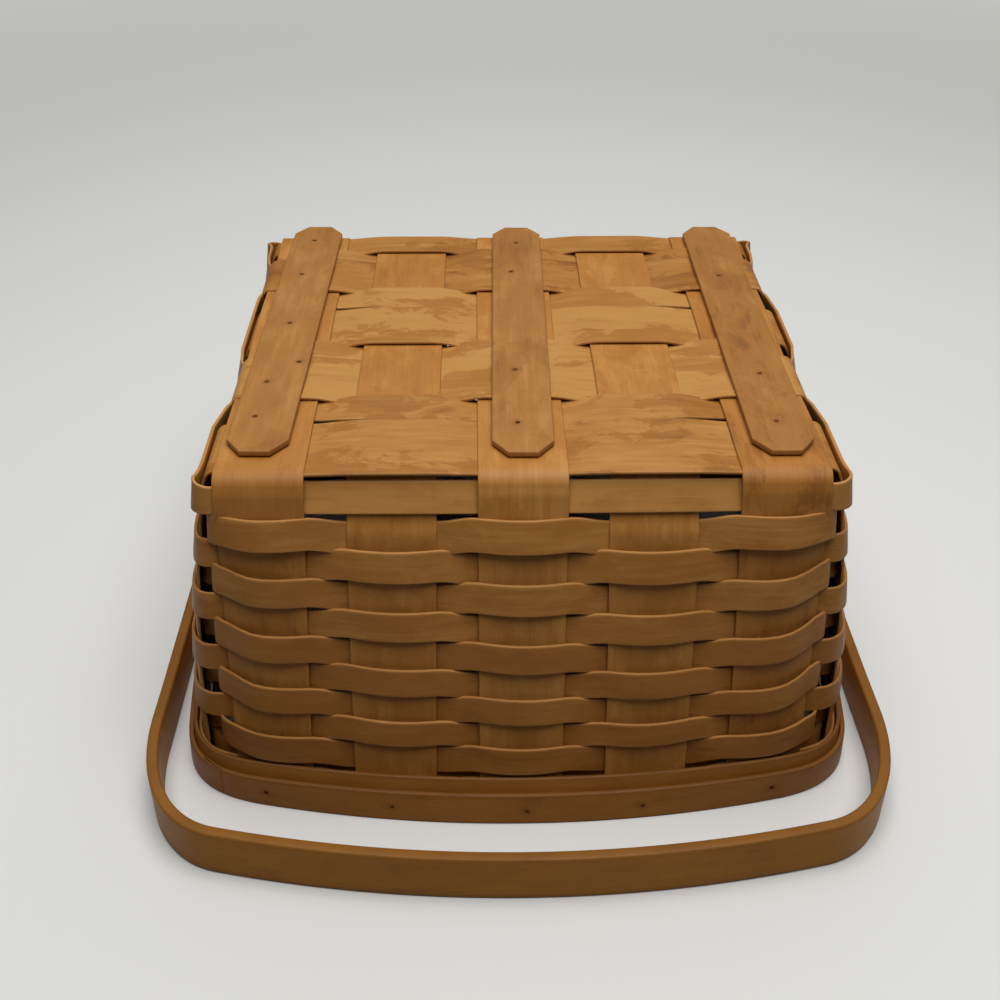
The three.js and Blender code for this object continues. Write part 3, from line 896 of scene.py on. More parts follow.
@dataclass
class Wall:
    """The map from places along the wall, heights and distances out to points.

    Distances from a corner are told as angles of the weavers' swing, positive on the side walls.
    """

    sizes: Sizes
    slump: Pair = (2.2, 3.0)  # how far middle rows slump at the middle of a wall, and more at its end
    slump_power: float = 1.25  # above 1, the rows nearer the rim slump more
    slump_ends: int = 4  # how close to the ends of a wall the slump stays
    drawn_in: Pair = (3.5, 0.8)  # the long walls turn in and the side walls out so far at the corners
    turn_in: Pair = (-0.45, 0.6)  # where and how widely the long walls turn in
    turn_out: Pair = (0.55, 0.7)  # and the side walls out
    stiff_from: Pair = (105.0, 136.0)  # between these heights the corners stop moving
    free_from: Pair = (22.0, 50.0)  # and between these they come free of the rim
    rim_slack: float = 0.3  # how freely they move at the rim
    half_turn: float = 1.083  # half the width of an upright, as an angle of the weavers' swing
    left_waist: tuple[float, ...] = (0.3, 3.5, 2.1, 2.3, 0.8)  # how far uprights are drawn in at the base
    right_waist: tuple[float, ...] = (0.0, 2.4, 0.0, 2.0, 0.8)
    waist_from: Pair = (60.0, 138.0)  # they are drawn in between these heights
    corner_steps: int = 40  # round a corner of the base line

    def __post_init__(self) -> None:
        """Draws the lines of base and rim, and shares out the walls."""
        sizes = self.sizes
        self.waist = dict(zip(SIDE_WALLS, (self.left_waist, self.right_waist)))
        self.base = PlanLoop(self._base_quarter())
        self.rim = PlanLoop(self._rim_quarter())
        self.fan = 1 + sizes.upright_spread / sizes.outermost
        self.middles = [k * sizes.pitch - sizes.outermost for k in range(sizes.splint_count)]
        self.boards = self._boards()
        self.uprights = self._uprights()
        self.rows = self._rows()

    def _base_quarter(self) -> Array:
        """Draws the wall line at the base.

        Returns:
            Points of its front right quarter.
        """
        s = self.sizes
        angle = np.linspace(-math.pi / 2, 0, self.corner_steps)
        centre = np.array([s.wall_x - s.base_corner, s.base_corner - s.wall_y])
        arc = centre + s.base_corner * np.stack([np.cos(angle), np.sin(angle)], axis=1)
        return np.concatenate([[[0, -s.wall_y]], arc, [[s.wall_x, 0]]])

    def _rim_quarter(self) -> Array:
        """Draws the wall line at the rim.

        Returns:
            Points of its front right quarter.
        """
        s = self.sizes
        half_x = s.rim_width / 2 - s.band_face
        half_y = s.rim_depth / 2 - s.band_face
        front = np.array([half_x - s.rim_corner, s.rim_bow_front - half_y])
        side = np.array([half_x - s.rim_bow_side, s.rim_corner - half_y])
        front_pull = np.array([front[0] / 2, -half_y])
        side_pull = np.array([half_x, side[1] / 2])
        reach = s.rim_round * np.linalg.norm(side - front)
        leave = front + reach * (front - front_pull) / np.linalg.norm(front - front_pull)
        arrive = side + reach * (side - side_pull) / np.linalg.norm(side - side_pull)
        return np.concatenate([
            bezier([(0, -half_y), tuple(front_pull), tuple(front)]),
            bezier([tuple(front), tuple(leave), tuple(arrive), tuple(side)])[1:],
            bezier([tuple(side), tuple(side_pull), (half_x, 0)])[1:],
        ])

    def _boards(self) -> list[Board]:
        """Shares out the base among the cross splints.

        Returns:
            Cross splints from front to back.
        """
        s = self.sizes
        reach = s.wall_y - s.splint / 2 - s.fit - s.bend / 4
        limit = s.wall_y - s.base_corner - s.tongue_setback
        room = 2 * reach - s.filler_width - s.board_gap * len(s.board_weights)
        widths = [room * weight / sum(s.board_weights) for weight in s.board_weights]
        boards, front = [], -reach
        for width in (*widths, s.filler_width):
            back = front + width
            tongue_front = max(front, -limit)
            tongue_back = min(back, tongue_front + s.splint_width, limit)
            boards.append(Board(front, back, tongue_front, tongue_back))
            front = back + s.board_gap
        return boards

    def _uprights(self) -> list[Upright]:
        """Lists the uprights.

        Returns:
            Uprights in order round the walls, from the left end of the front.
        """
        half = self.sizes.splint_width / 2
        lengthwise = [(middle - half, middle + half) for middle in self.middles]
        cross = [(board.tongue_front, board.tongue_back) for board in self.boards]
        walls = (lengthwise, cross, lengthwise[::-1], cross[::-1])
        return [Upright(face, *edges) for face, row in zip(Face, walls) for edges in row]

    def _rows(self) -> list[Pair]:
        """Shares out the wall among the weavers.

        Returns:
            Lower and upper edge of each weaver, from the base towards the rim.
        """
        s = self.sizes
        first = s.height - s.first_row_top
        second = first - s.weaver_height - s.first_row_gap
        last = s.strip_height + s.rim_gap
        count = round((second - last) / (s.weaver_height + s.row_gap))
        pitch = (second - last) / count
        between = [(second - (k + 1) * pitch + s.row_gap, second - k * pitch) for k in range(count)]
        in_rim = s.strip_height - s.rim_row_drop
        return [(first - s.weaver_height, first), *between, (in_rim - s.rim_row_height, in_rim)]

    @property
    def row_pitch(self) -> float:
        """Spacing of the rows."""
        return self.rows[1][1] - self.rows[2][1]

    @staticmethod
    def sense(wall: Face) -> int:
        """1 where the wall line runs to the right or the back, and -1 where it runs the other way."""
        return 1 if wall in (Face.FRONT, Face.RIGHT) else -1

    def beside(self, base: Array) -> tuple[Array, Array]:
        """Walls on which lengths along the base line lie, and distances from their middles."""
        number = np.round(base / self.base.quarter)
        return number % len(Face), base - number * self.base.quarter

    def settle(self, base: Array, z: Array) -> Array:
        """Lets rows slump towards the rim between the corners, more at one end of each wall.

        Args:
            base: Lengths along the base line.
            z: Heights of the rows as first woven.

        Returns:
            Heights after the slump, which leaves the outermost rows in place.
        """
        wall, offset = self.beside(base)
        half = np.where(np.isin(wall, LONG_WALLS), self.sizes.wall_x, self.sizes.wall_y)
        along = np.clip(offset / half, -1, 1)
        depth = (self.slump[0] + self.slump[1] * along) * (1 - along**self.slump_ends)
        top, bottom = self.rows[1][1], self.rows[-2][0]
        share = np.clip((top - z) / (top - bottom), 0, 1)
        return z - depth * np.sin(math.pi * share**self.slump_power)

    def slack(self, z: Array) -> Array:
        """How freely the corners move, from 1 halfway up to 0 at the base."""
        above_rim = self.rim_slack + (1 - self.rim_slack) * smooth(*self.free_from, z)
        return (1 - smooth(*self.stiff_from, z)) * above_rim

    def tuck(self, past: Array, z: Array) -> Array:
        """How far the walls are drawn in beside a corner, at distances from it and heights."""
        inward = self.drawn_in[0] * hump(past, *self.turn_in)
        return (inward - self.drawn_in[1] * hump(past, *self.turn_out)) * self.slack(z)

    def narrowed(self, base: Array, z: Array) -> Array:
        """How far the side walls are drawn in beside the base.

        Args:
            base: Lengths along the base line.
            z: Heights.

        Returns:
            Inward distances, the same all over an upright's width.
        """
        number, offset = self.beside(base)
        reach = self.sizes.wall_y - self.sizes.base_corner
        edges = [edge for board in self.boards for edge in (board.tongue_front, board.tongue_back)]
        knots = [-reach, *edges, reach]
        inward = np.zeros(np.shape(base))
        for wall, depths in self.waist.items():
            depth = np.interp(self.sense(wall) * offset, knots, [0, *np.repeat(depths, 2), 0])
            inward = np.where(number == wall, depth, inward)
        return inward * smooth(*self.waist_from, z)

    def place(self, wall: Face, middle: float, offset: Array) -> tuple[Array, Array]:
        """Lengths along the base and rim lines of places beside the middle of an upright.

        Args:
            wall: Wall that it stands in.
            middle: Middle of the upright along that wall.
            offset: Distances from it.

        Returns:
            Lengths along the base line and along the rim line.
        """
        base = wall * self.base.quarter + self.sense(wall) * (middle + offset)
        rim = wall * self.rim.quarter + self.sense(wall) * (middle * self.fan + offset)
        return base, rim

    def point(self, base: Array, rim: Array, out: Array, z: Array) -> Array:
        """Points of the wall.

        Args:
            base: Lengths along the base line.
            rim: Lengths along the rim line.
            out: Distances out from the middle of the wall.
            z: Heights.

        Returns:
            Points in millimetres.
        """
        base, rim, out, z = np.broadcast_arrays(base, rim, out, z)
        share = np.maximum(0, 1 - z / self.sizes.wall_top)[..., None]
        bow = self.sizes.wall_bow * 4 * share * (1 - share)
        reach = (out - self.narrowed(base, z))[..., None] + bow
        high_point, high_normal = self.base.at(base)
        low_point, low_normal = self.rim.at(rim)
        high = high_point + high_normal * reach
        low = low_point + low_normal * reach
        return np.concatenate([high + (low - high) * share, z[..., None]], axis=-1)

    def sheet(self, base: Array, rim: Array, out: Array, z: Array) -> tuple[Array, Array]:
        """Points of the wall, as in point, with unit normals out of it."""
        point = self.point(base, rim, out, z)
        return point, unit(self.point(base, rim, np.asarray(out) + 1.0, z) - point)


# Sub-assemblies

BEND_ANGLES = np.radians(np.arange(10, 90, 10))  # round the bend from wall to base, without its ends


@dataclass
class WovenBase:
    """Splints woven across the base, which turn down the walls as uprights."""

    wall: Wall
    thickness: float = 1.2
    bend: Pair = (6.0, 8.5)  # of lengthwise splints that stand proud, and tucked in
    side_bend: float = 4.5  # of the cross splints
    sink: float = 0.2  # the weave is pressed this far below its level
    swing: float = 0.7  # each splint runs this far over or under the middle
    overrun: float = 10.0  # lengthwise splints keep their level this far past the outer boards
    stiff: float = 0.7  # by this share the front edge of the first board stays straight
    stiff_width: float = 14.0  # and this far back it is no longer straight
    lift: float = 1.15  # boards rise this much more along their edges
    level_turn: Pair = (0.26, 0.74)  # where boards change level between two splints
    end_ease: float = 4.0  # boards narrow and flatten this close to the outermost splints
    seam: float = -2.0  # between neighbouring boards, which lap a little
    press: float = 0.22  # weavers press an upright in and out by this
    rim_ease: float = 8.0  # but not within this height over the rim strip
    proud: float = 1.2  # how far an upright stands out where the first row runs inside it
    tucked: float = -1.4  # and how far it is pressed in where that row runs outside
    side_tucked: float = 0.2  # the same on the side walls
    first_ease: Pair = (9.0, 2.0)  # from and to so far under the first row
    slit_mouth: float = 4.5  # how far the slits have opened beside the outermost splints
    closed_slit: float = 14.0  # length of a slit where the board passes over the outermost splint
    hair: float = 0.02  # radius of the edges where a slit is still closed
    tear: float = 6.0  # the edges are round after one part in so many of the slit
    least_tab: float = 3.0  # boards this much wider than their uprights are slit
    edge_round: float = 0.42
    points: tuple[int, int, int] = (13, 11, 5)  # across lengthwise splints, boards and their tabs
    stations: tuple[int, int, int] = (72, 150, 190)  # along uprights, lengthwise splints and boards
    # Painted light and shade on the boards: the middle ones lighter and the fourth darker, where more and
    # less light falls on the base.
    painted_board_light: tuple[float, ...] = (0.0, 0.24, 0.32, -0.2, 0.0)  # how much lighter, from the front
    seeds: np.random.Generator = field(default_factory=lambda: np.random.default_rng(11))

    @property
    def level(self) -> float:
        """Height of the middle of the weave."""
        return self.wall.sizes.base_level - self.sink

    @property
    def last(self) -> int:
        """Number of the board at the back."""
        return len(self.wall.boards) - 1

    def board_edges(self, j: int) -> Pair:
        """Front and back edge of a board, drawn over its neighbours."""
        board, grow = self.wall.boards[j], (self.wall.sizes.board_gap - self.seam) / 2
        return board.front - grow * (j > 0), board.back + grow * (j < self.last)

    def board_share(self, j: int, y: Array) -> Array:
        """Places across a board.

        Args:
            j: Which board, from the front.
            y: Places from front to back.

        Returns:
            Shares from -1 at its front edge to 1 at its back one, or 0 in the outer half of an outer board.
        """
        front, back = self.board_edges(j)
        share = (y - (front + back) / 2) / ((back - front) / 2)
        if j == 0:
            return np.maximum(share, 0)
        return np.minimum(share, 0) if j == self.last else share

    def splint_height(self, i: int, y: Array) -> Array:
        """Height of a lengthwise splint along the base.

        Args:
            i: Which splint, from the left.
            y: Places from front to back.

        Returns:
            Heights of its middle.
        """
        height = np.zeros_like(y)
        for j in range(self.last + 1):
            front, back = self.board_edges(j)
            reached = (y >= front - self.overrun * (j == 0)) & (y <= back + self.overrun * (j == self.last))
            share = self.board_share(j, y)
            side = 1 if (i + j) % 2 == 0 else -1
            height = np.where(reached & (np.abs(share) <= 1), side * np.cos(share * math.pi / 2), height)
        return self.level + self.swing * height

    def board_height(self, j: int, x: Array, y: Array) -> Array:
        """Height of a cross splint over the base.

        Args:
            j: Which splint, from the front.
            x: Places from left to right.
            y: Places from front to back.

        Returns:
            Heights of its middle.
        """
        s = self.wall.sizes
        place = (x + s.outermost) / s.pitch
        low = np.clip(np.floor(place), 0, s.splint_count - 2)
        sign = np.where((low + j) % 2 == 0, -1.0, 1.0)
        side = sign * (1 - 2 * smooth(*self.level_turn, np.clip(place - low, 0, 1)))
        within = 1 - smooth(s.outermost + self.end_ease, s.wall_x - self.side_bend, np.abs(x))
        swing = self.swing
        if j == 0:
            back_from_edge = smooth(0, self.stiff_width, y - self.board_edges(j)[0])
            swing = swing * (1 - self.stiff * (1 - back_from_edge))
        return self.level + side * (swing + self.lift * self.board_share(j, y) ** 2 * within)

    def ring_number(self, wall: Face, low: float) -> int:
        """Number in the ring of the upright that starts at a place on a wall."""
        places = [(upright.wall, round(upright.low, 3)) for upright in self.wall.uprights]
        return places.index((wall, round(low, 3)))

    def edge_reach(self, k: int) -> float:
        """How far an upright stands out beside the first row."""
        is_side = self.wall.uprights[k].wall in SIDE_WALLS
        return (self.side_tucked if is_side else self.tucked) if k % 2 else self.proud

    def upright_sheet(
        self, wall: Face, low: float, high: float, top: float, across: Array
    ) -> tuple[Array, Array]:
        """Points of an upright from the rim up to the bend.

        Args:
            wall: Wall that it stands in.
            low: One edge along the wall.
            high: The other edge.
            top: Height where the bend starts.
            across: Places across, measured along the wall.

        Returns:
            Points and normals, from the rim up.
        """
        s = self.wall.sizes
        k = self.ring_number(wall, low)
        z = np.linspace(s.upright_end, top, self.stations[0])
        phase = (sum(self.wall.rows[1]) / 2 - z) / self.wall.row_pitch + 1 + k
        pressed = smooth(s.strip_height, s.strip_height + self.rim_ease, z)
        out = self.press * np.cos(math.pi * phase) * pressed
        first_low, _ = self.wall.rows[0]
        near_base = smooth(*(first_low - under for under in self.first_ease), z)
        out = out + (self.edge_reach(k) - out) * near_base
        row = [upright for upright in self.wall.uprights if upright.wall == wall]
        inner = np.minimum(across - min(each.low for each in row), max(each.high for each in row) - across)
        turn = self.wall.half_turn
        past = math.pi / 2 - turn + 2 * turn * inner / s.splint_width
        past = past * (1 if wall in SIDE_WALLS else -1)
        out = out[:, None] - self.wall.tuck(past[None, :], z[:, None])
        middle = (low + high) / 2
        base, rim = self.wall.place(wall, middle, across - middle)
        return self.wall.sheet(base[None, :], rim[None, :], out, z[:, None])

    @staticmethod
    def bend_rows(
        across: Array, run: Axis, end: float, level: float, bend: float
    ) -> tuple[Array, Array]:
        """Points of a splint round its bend.

        Args:
            across: Places across the splint.
            run: Axis that it runs along on the base.
            end: Where it leaves the base along that axis.
            level: Height of the splint there.
            bend: Radius of the bend.

        Returns:
            Points and normals, from the wall up to the base.
        """
        angle = BEND_ANGLES[:, None]
        side = math.copysign(1, end)
        point = np.zeros((len(angle), len(across), 3))
        normal = np.zeros_like(point)
        point[..., run] = end + side * bend * np.cos(angle)
        point[..., 1 - run] = across
        point[..., 2] = level - bend + bend * np.sin(angle)
        normal[..., run] = side * np.cos(angle)
        normal[..., 2] = np.sin(angle)
        return point, normal

    def with_uprights(
        self, flat: Strip, run: Axis, low: float, high: float, bends: Sequence[float]
    ) -> Strip:
        """Carries a splint on over both edges of the base and down the walls.

        Args:
            flat: The splint on the base.
            run: Axis that it runs along there.
            low: One edge of its uprights along the wall.
            high: The other edge.
            bends: Radii of the bends at its ends.

        Returns:
            The whole strip.
        """
        ends = []
        for wall, row, bend in zip(LONG_WALLS if run is Axis.Y else SIDE_WALLS, (0, -1), bends):
            line = flat.middle[row]
            across, level = line[:, 1 - run], float(line[:, 2].mean())
            sheet = self.upright_sheet(wall, low, high, level - bend, across)
            bent = self.bend_rows(across, run, line[0, run], level, bend)
            point, normal = (np.concatenate(pair) for pair in zip(sheet, bent))
            alike = (np.tile(kept[row], (len(point), 1)) for kept in (flat.half, flat.across))
            ends.append((point, normal, *alike))
        held = (flat.middle, flat.normal, flat.half, flat.across)
        middle, normal, half, places = (
            np.concatenate([first, kept, last[::-1]]) for first, kept, last in zip(ends[0], held, ends[1])
        )
        return replace(flat, middle=middle, normal=normal, half=half, across=places)

    def lengthwise(self, i: int) -> Strip:
        """Lengthwise splint, up the front wall, over the base and down the back wall.

        Args:
            i: Which splint, from the left.

        Returns:
            Its strip.
        """
        s = self.wall.sizes
        middle = self.wall.middles[i]
        low, high = middle - s.splint_width / 2, middle + s.splint_width / 2
        turns = [self.ring_number(wall, low) for wall in LONG_WALLS]
        bends = [self.bend[k % 2] for k in turns]
        front, back = (s.wall_y - bend + self.edge_reach(k) for bend, k in zip(bends, turns))
        y = np.linspace(-front, back, self.stations[1])
        z = self.splint_height(i, y)
        edges = [np.full_like(y, value) for value in (low, high, self.edge_round, self.edge_round)]
        x, drop, wear = across_strip(edges, self.points[0])
        slope = np.gradient(z, y)[:, None] + 0 * x
        flat = Strip(
            np.stack(np.broadcast_arrays(x, y[:, None], z[:, None]), axis=-1),
            unit(np.stack([0 * slope, -slope, 1 + 0 * slope], axis=-1)),
            self.thickness / 2 - drop, x - middle, wear, own_number(self.seeds),
        )
        return self.with_uprights(flat, Axis.Y, low, high, bends)

    def board(self, j: int, x: Array, edges: Edges, inner: int, seed: float) -> Strip:
        """Part of a cross splint on the base.

        Args:
            j: Which splint, from the front.
            x: Places from left to right.
            edges: Its front and back edge, and their radii.
            inner: Points between the edges.
            seed: The splint's own number.

        Returns:
            Its strip.
        """
        upright = self.wall.boards[j]
        y, drop, wear = across_strip(edges, inner)
        z = self.board_height(j, x[:, None], y)
        slope = np.gradient(z, x, axis=0)
        return Strip(
            np.stack(np.broadcast_arrays(x[:, None], y, z), axis=-1),
            unit(np.stack([-slope, 0 * slope, 1 + 0 * slope], axis=-1)),
            self.thickness / 2 - drop, y - (upright.tongue_front + upright.tongue_back) / 2, wear, seed,
            tone=self.painted_board_light[j],
        )

    def cross(self, j: int) -> list[Strip]:
        """Cross splint: the strip that becomes the side uprights, and the rest of the wide board.

        Args:
            j: Which splint, from the front.

        Returns:
            Its strips.
        """
        s = self.wall.sizes
        board = self.wall.boards[j]
        front, back = self.board_edges(j)
        tongue = (board.tongue_front, board.tongue_back)
        left, right = (
            s.wall_x - self.side_bend - self.wall.waist[wall][j]
            + self.edge_reach(self.ring_number(wall, board.tongue_front))
            for wall in SIDE_WALLS
        )
        x = np.linspace(-left, right, self.stations[2])
        seed = own_number(self.seeds)
        narrow = smooth(s.outermost - self.end_ease, s.outermost + self.end_ease, np.abs(x))
        low, high = front + (tongue[0] - front) * narrow, back + (tongue[1] - back) * narrow
        whole = np.full_like(x, self.edge_round)
        high_round, tabs = whole, []
        if back - board.tongue_back > self.least_tab and j < self.last:
            is_open = j % 2 == 0
            length = s.slit_length if is_open else self.closed_slit
            mouth = self.slit_mouth if is_open else s.slit_mouth
            opened = np.clip((np.abs(x) - (s.outermost - length)) / length, 0, 1)
            torn = self.hair + (self.edge_round - self.hair) * np.clip(opened * self.tear, 0, 1)
            high, high_round = np.full_like(x, board.tongue_back), torn
            tab_low = board.tongue_back - self.hair + mouth * opened
            within = np.abs(x) <= s.outermost
            edges = [edge[within] for edge in (tab_low, np.full_like(x, back), torn, whole)]
            tabs.append(self.board(j, x[within], edges, self.points[2], seed))
        flat = self.board(j, x, (low, high, whole, high_round), self.points[1], seed)
        bends = (self.side_bend, self.side_bend)
        return [self.with_uprights(flat, Axis.X, *tongue, bends), *tabs]

    def build(self) -> None:
        """Makes and dresses the splints."""
        upright_wood, board_wood = UPRIGHT_WOOD.dress(), BOARD_WOOD.dress()
        for i in range(len(self.wall.middles)):
            install_wood(f"lengthwise_splint_{i + 1}", [self.lengthwise(i)], upright_wood, Slot.SPLINT)
        for j in range(len(self.wall.boards)):
            install_wood(f"cross_splint_{j + 1}", self.cross(j), board_wood, Slot.SPLINT)


@dataclass(frozen=True)
class Course:
    """Way of one weaver round the walls, station by station."""

    base: Array  # length along the base line
    rim: Array  # and along the rim line
    swing: Array  # from 1 outside an upright to -1 inside one
    past: Array  # distance past the nearest corner
    turn: float = 0.5  # the side walls start between this distance before a corner and after it
    corner_width: float = 0.9

    @property
    def on_side(self) -> Array:
        """1 on the side walls and 0 on the long ones."""
        return smooth(-self.turn, self.turn, self.past)

    @property
    def corner(self) -> Array:
        """1 at the corners and 0 away from them."""
        return hump(self.past, 0.0, self.corner_width)


Bends = tuple[Array, Array, Array]  # how far out a weaver runs, and the shifts of its lower and upper edge


@dataclass
class Weave:
    """Weavers round the walls, outside and inside the uprights in turn."""

    wall: Wall
    thickness: float = 1.25
    bulge: float = 3.2  # how far a weaver swings out and in
    side_bulge: float = 2.1  # the same on the side walls
    spread: Pair = (0.94, 1.06)  # rows differ in this by so much
    tight: float = 1.6  # how far the row in the rim swings
    tight_turn: float = 2.2  # and how sharply it turns
    tight_edge: float = -2.4  # shift of its upper edge
    first: Pair = (-0.3, 0.2)  # where the first row runs inside and outside the uprights
    first_turn: Pair = (-0.8, -0.3)  # between these swings it changes sides
    first_edges: Pair = (-0.6, -1.6)  # shifts of its lower and upper edge
    first_side: float = 1.6  # on the side walls it runs this much further out
    first_side_edge: float = 2.0  # and its upper edge is this much higher
    first_loop: float = 1.6  # how far it loops out at the corners
    first_span: Pair = (0.15, 0.45)  # where, and how widely
    lean: Triple = (3.4, 1.2, 0.4)  # of the first rows, at their upper edge
    lean_end: Pair = (-1.4, -0.4)  # the leaning ends so near a corner
    dip: float = 3.0  # a weaver falls by this much where it goes behind an upright
    back_dip: float = 1.0  # the same on the back wall, where the rows lie closer
    dip_span: Pair = (-0.5, 0.6)  # it falls between these swings inwards
    rise: Pair = (0.8, 2.5)  # even and odd rows rise by this much at the corners
    low_rise: float = 0.7  # and their lower edges by this share of it
    low_edge: float = -0.3  # shift of their lower edges
    last_low_edge: float = -1.3  # and more in the row beside the rim
    loop: float = 0.3  # how far even rows loop out at the corners
    loop_span: Pair = (0.28, 0.45)  # where, and how widely
    side_loop: float = 0.3  # how far they loop out round the uprights of the side walls
    loop_drop: float = 20.0  # which stops this far above where the corners become stiff
    dive: float = 5.5  # how far odd rows dive in at the corners
    dive_span: Pair = (0.35, 0.35)  # where, and how widely
    waver: Pair = (0.05, 0.16)  # least and most height of each wave along a row
    waves: tuple[int, ...] = (2, 5, 9)  # waves in one round
    phase: Pair = (0, 6)  # least and most angle at which a wave starts
    # Painted light and shade: the rows near the base are lighter and those near the rim darker, standing in
    # for how the light falls down the walls.
    tones: tuple[float, ...] = (  # how much lighter than the finish each row is, from the base
        0.34, 0.28, 0.06, 0.22, 0.16, -0.03, -0.05, 0.06, 0.04, -0.1, -0.1,
    )
    edge_round: float = 0.45
    steps: int = 10  # stations over an upright, and between two
    points: int = 5  # across a weaver
    lap: int = 16  # the upright near which a row starts and ends
    seeds: np.random.Generator = field(default_factory=lambda: np.random.default_rng(23))

    def stations(self) -> tuple[Array, Array, Array]:
        """Places round the walls with the swing's angle at each.

        Returns:
            Lengths along the base line and the rim line, and angles that grow by half a turn an upright.
        """
        base, rim, angle = [], [], []
        for k, upright in enumerate(self.wall.uprights):
            middle = (upright.low + upright.high) / 2
            half = (upright.high - upright.low) / 2
            turn = self.wall.sense(upright.wall)
            for side in (-1, 1):
                place = self.wall.place(upright.wall, middle, side * turn * half)
                base.append(place[0])
                rim.append(place[1])
                angle.append(math.pi * k + side * self.wall.half_turn)
        base.append(base[0] + self.wall.base.total)
        rim.append(rim[0] + self.wall.rim.total)
        angle.append(angle[0] + math.pi * len(self.wall.uprights))
        knots = np.arange(len(base))
        fine = []
        for k in range(len(base) - 1):
            is_corner = k % 2 == 1 and (k // 2 + 1) % self.wall.sizes.splint_count == 0
            count = self.steps * (2 if is_corner else 1)
            share = np.arange(count) / count
            fine.append(k + (share if k % 2 == 1 else 0.5 - 0.5 * np.cos(math.pi * share)))
        fine = np.append(np.concatenate(fine), knots[-1])
        return np.interp(fine, knots, base), np.interp(fine, knots, rim), np.interp(fine, knots, angle)

    def into_side(self, angle: Array) -> Array:
        """How far each station lies past the nearest corner, positive on the side walls.

        Args:
            angle: Angles of the stations.

        Returns:
            Distances from the middle of the corner, as angles.
        """
        wall = math.pi * self.wall.sizes.splint_count
        number = np.round((angle + math.pi / 2) / wall)
        away = angle + math.pi / 2 - number * wall
        return np.where(number % 2 == 0, -away, away)

    def course(self, number: int) -> Course:
        """Way of a weaver round the walls.

        Args:
            number: Which row, from the base.

        Returns:
            The way, from the row's start once round.
        """
        base, rim, angle = self.stations()
        start = (number % 2 + self.lap) * 2 * self.steps + self.steps // 2
        order = np.r_[start:len(base) - 1, 0:start + 1]
        wrap = order < start
        wrap[-1] = True
        return Course(
            base[order] + wrap * self.wall.base.total,
            rim[order] + wrap * self.wall.rim.total,
            -np.cos(angle[order] + math.pi * number),
            self.into_side(angle[order]),
        )

    def first_row(self, way: Course) -> Bends:
        """Bends of the row beside the base.

        Args:
            way: Its way round the walls.

        Returns:
            How far out it runs, and the shifts of its edges.
        """
        inside, outside = self.first
        step = outside - inside + self.first_side * way.on_side
        out = inside + step * smooth(*self.first_turn, way.swing)
        low_shift, high_shift = self.first_edges
        return (
            out + self.first_loop * hump(way.past, *self.first_span),
            np.full_like(out, low_shift),
            high_shift + self.first_side_edge * way.on_side,
        )

    def rim_row(self, way: Course) -> Bends:
        """Bends of the row held inside the rim."""
        out = self.tight * np.tanh(self.tight_turn * way.swing) / math.tanh(self.tight_turn)
        return out, np.zeros_like(out), np.full_like(out, self.tight_edge)

    def wall_row(self, number: int, way: Course) -> Bends:
        """Bends of a row of the open wall.

        Args:
            number: Which row, from the base.
            way: Its way round the walls.

        Returns:
            How far out it runs, and the shifts of its edges.
        """
        height = np.array(sum(self.wall.rows[number]) / 2)
        is_odd = number % 2
        bulge = self.bulge + (self.side_bulge - self.bulge) * way.on_side
        out = bulge * way.swing * self.seeds.uniform(*self.spread) - self.wall.tuck(way.past, height)
        if is_odd:
            out = out - self.dive * hump(way.past, *self.dive_span)
        else:
            slack = self.wall.slack(height - self.loop_drop)
            out = out + self.loop * hump(way.past, *self.loop_span)
            out = out + self.side_loop * slack * way.on_side * (1 - way.corner) * np.maximum(way.swing, 0)
        rise = self.rise[is_odd] * way.corner * self.wall.slack(height)
        share = np.linspace(0, 2 * math.pi, len(out))
        waver = sum(
            self.seeds.uniform(*self.waver) * np.cos(n * share + self.seeds.uniform(*self.phase))
            for n in self.waves
        )
        wall, _ = self.wall.beside(way.base)
        depth = np.where(wall == Face.BACK, self.back_dip, self.dip)
        fall = depth * smooth(*self.dip_span, -way.swing) * (1 - way.corner)
        low_shift = waver + self.low_rise * rise - fall + self.low_edge
        if number == len(self.wall.rows) - 2:
            low_shift = low_shift + self.last_low_edge
        return out, low_shift, waver + rise - fall

    def row(self, number: int) -> Strip:
        """One weaver.

        Args:
            number: Which row, from the base.

        Returns:
            Its strip.
        """
        way = self.course(number)
        low, high = self.wall.rows[number]
        if number == 0:
            out, low_shift, high_shift = self.first_row(way)
        elif number == len(self.wall.rows) - 1:
            out, low_shift, high_shift = self.rim_row(way)
        else:
            out, low_shift, high_shift = self.wall_row(number, way)
        edge_round = np.full_like(out, self.edge_round)
        low_edge = self.wall.settle(way.base, low + low_shift)
        high_edge = self.wall.settle(way.base, high + high_shift)
        z, drop, wear = across_strip((low_edge, high_edge, edge_round, edge_round), self.points)
        most = self.lean[number] if number < len(self.lean) else 0.0
        lean = most * (1 - smooth(*self.lean_end, way.past))
        share = (z - low_edge[:, None]) / (high_edge - low_edge)[:, None]
        still = float(number > 0)  # the first row leans about its lower edge, the others about the upper
        reach = out[:, None] + lean[:, None] * (still - share)
        middle, normal = self.wall.sheet(way.base[:, None], way.rim[:, None], reach, z)
        tilt = np.stack([0 * lean, 0 * lean, lean / (high - low)], axis=-1)[:, None, :]
        return Strip(
            middle, unit(normal + tilt), self.thickness / 2 - drop, z - (low + high) / 2, wear,
            own_number(self.seeds), tone=self.tones[number],
        )

    def build(self) -> None:
        """Makes and dresses the weavers."""
        wood = WEAVER_WOOD.dress()
        for number in range(len(self.wall.rows)):
            install_wood(f"weaver_{number + 1:02d}", [self.row(number)], wood, Slot.WEAVER)


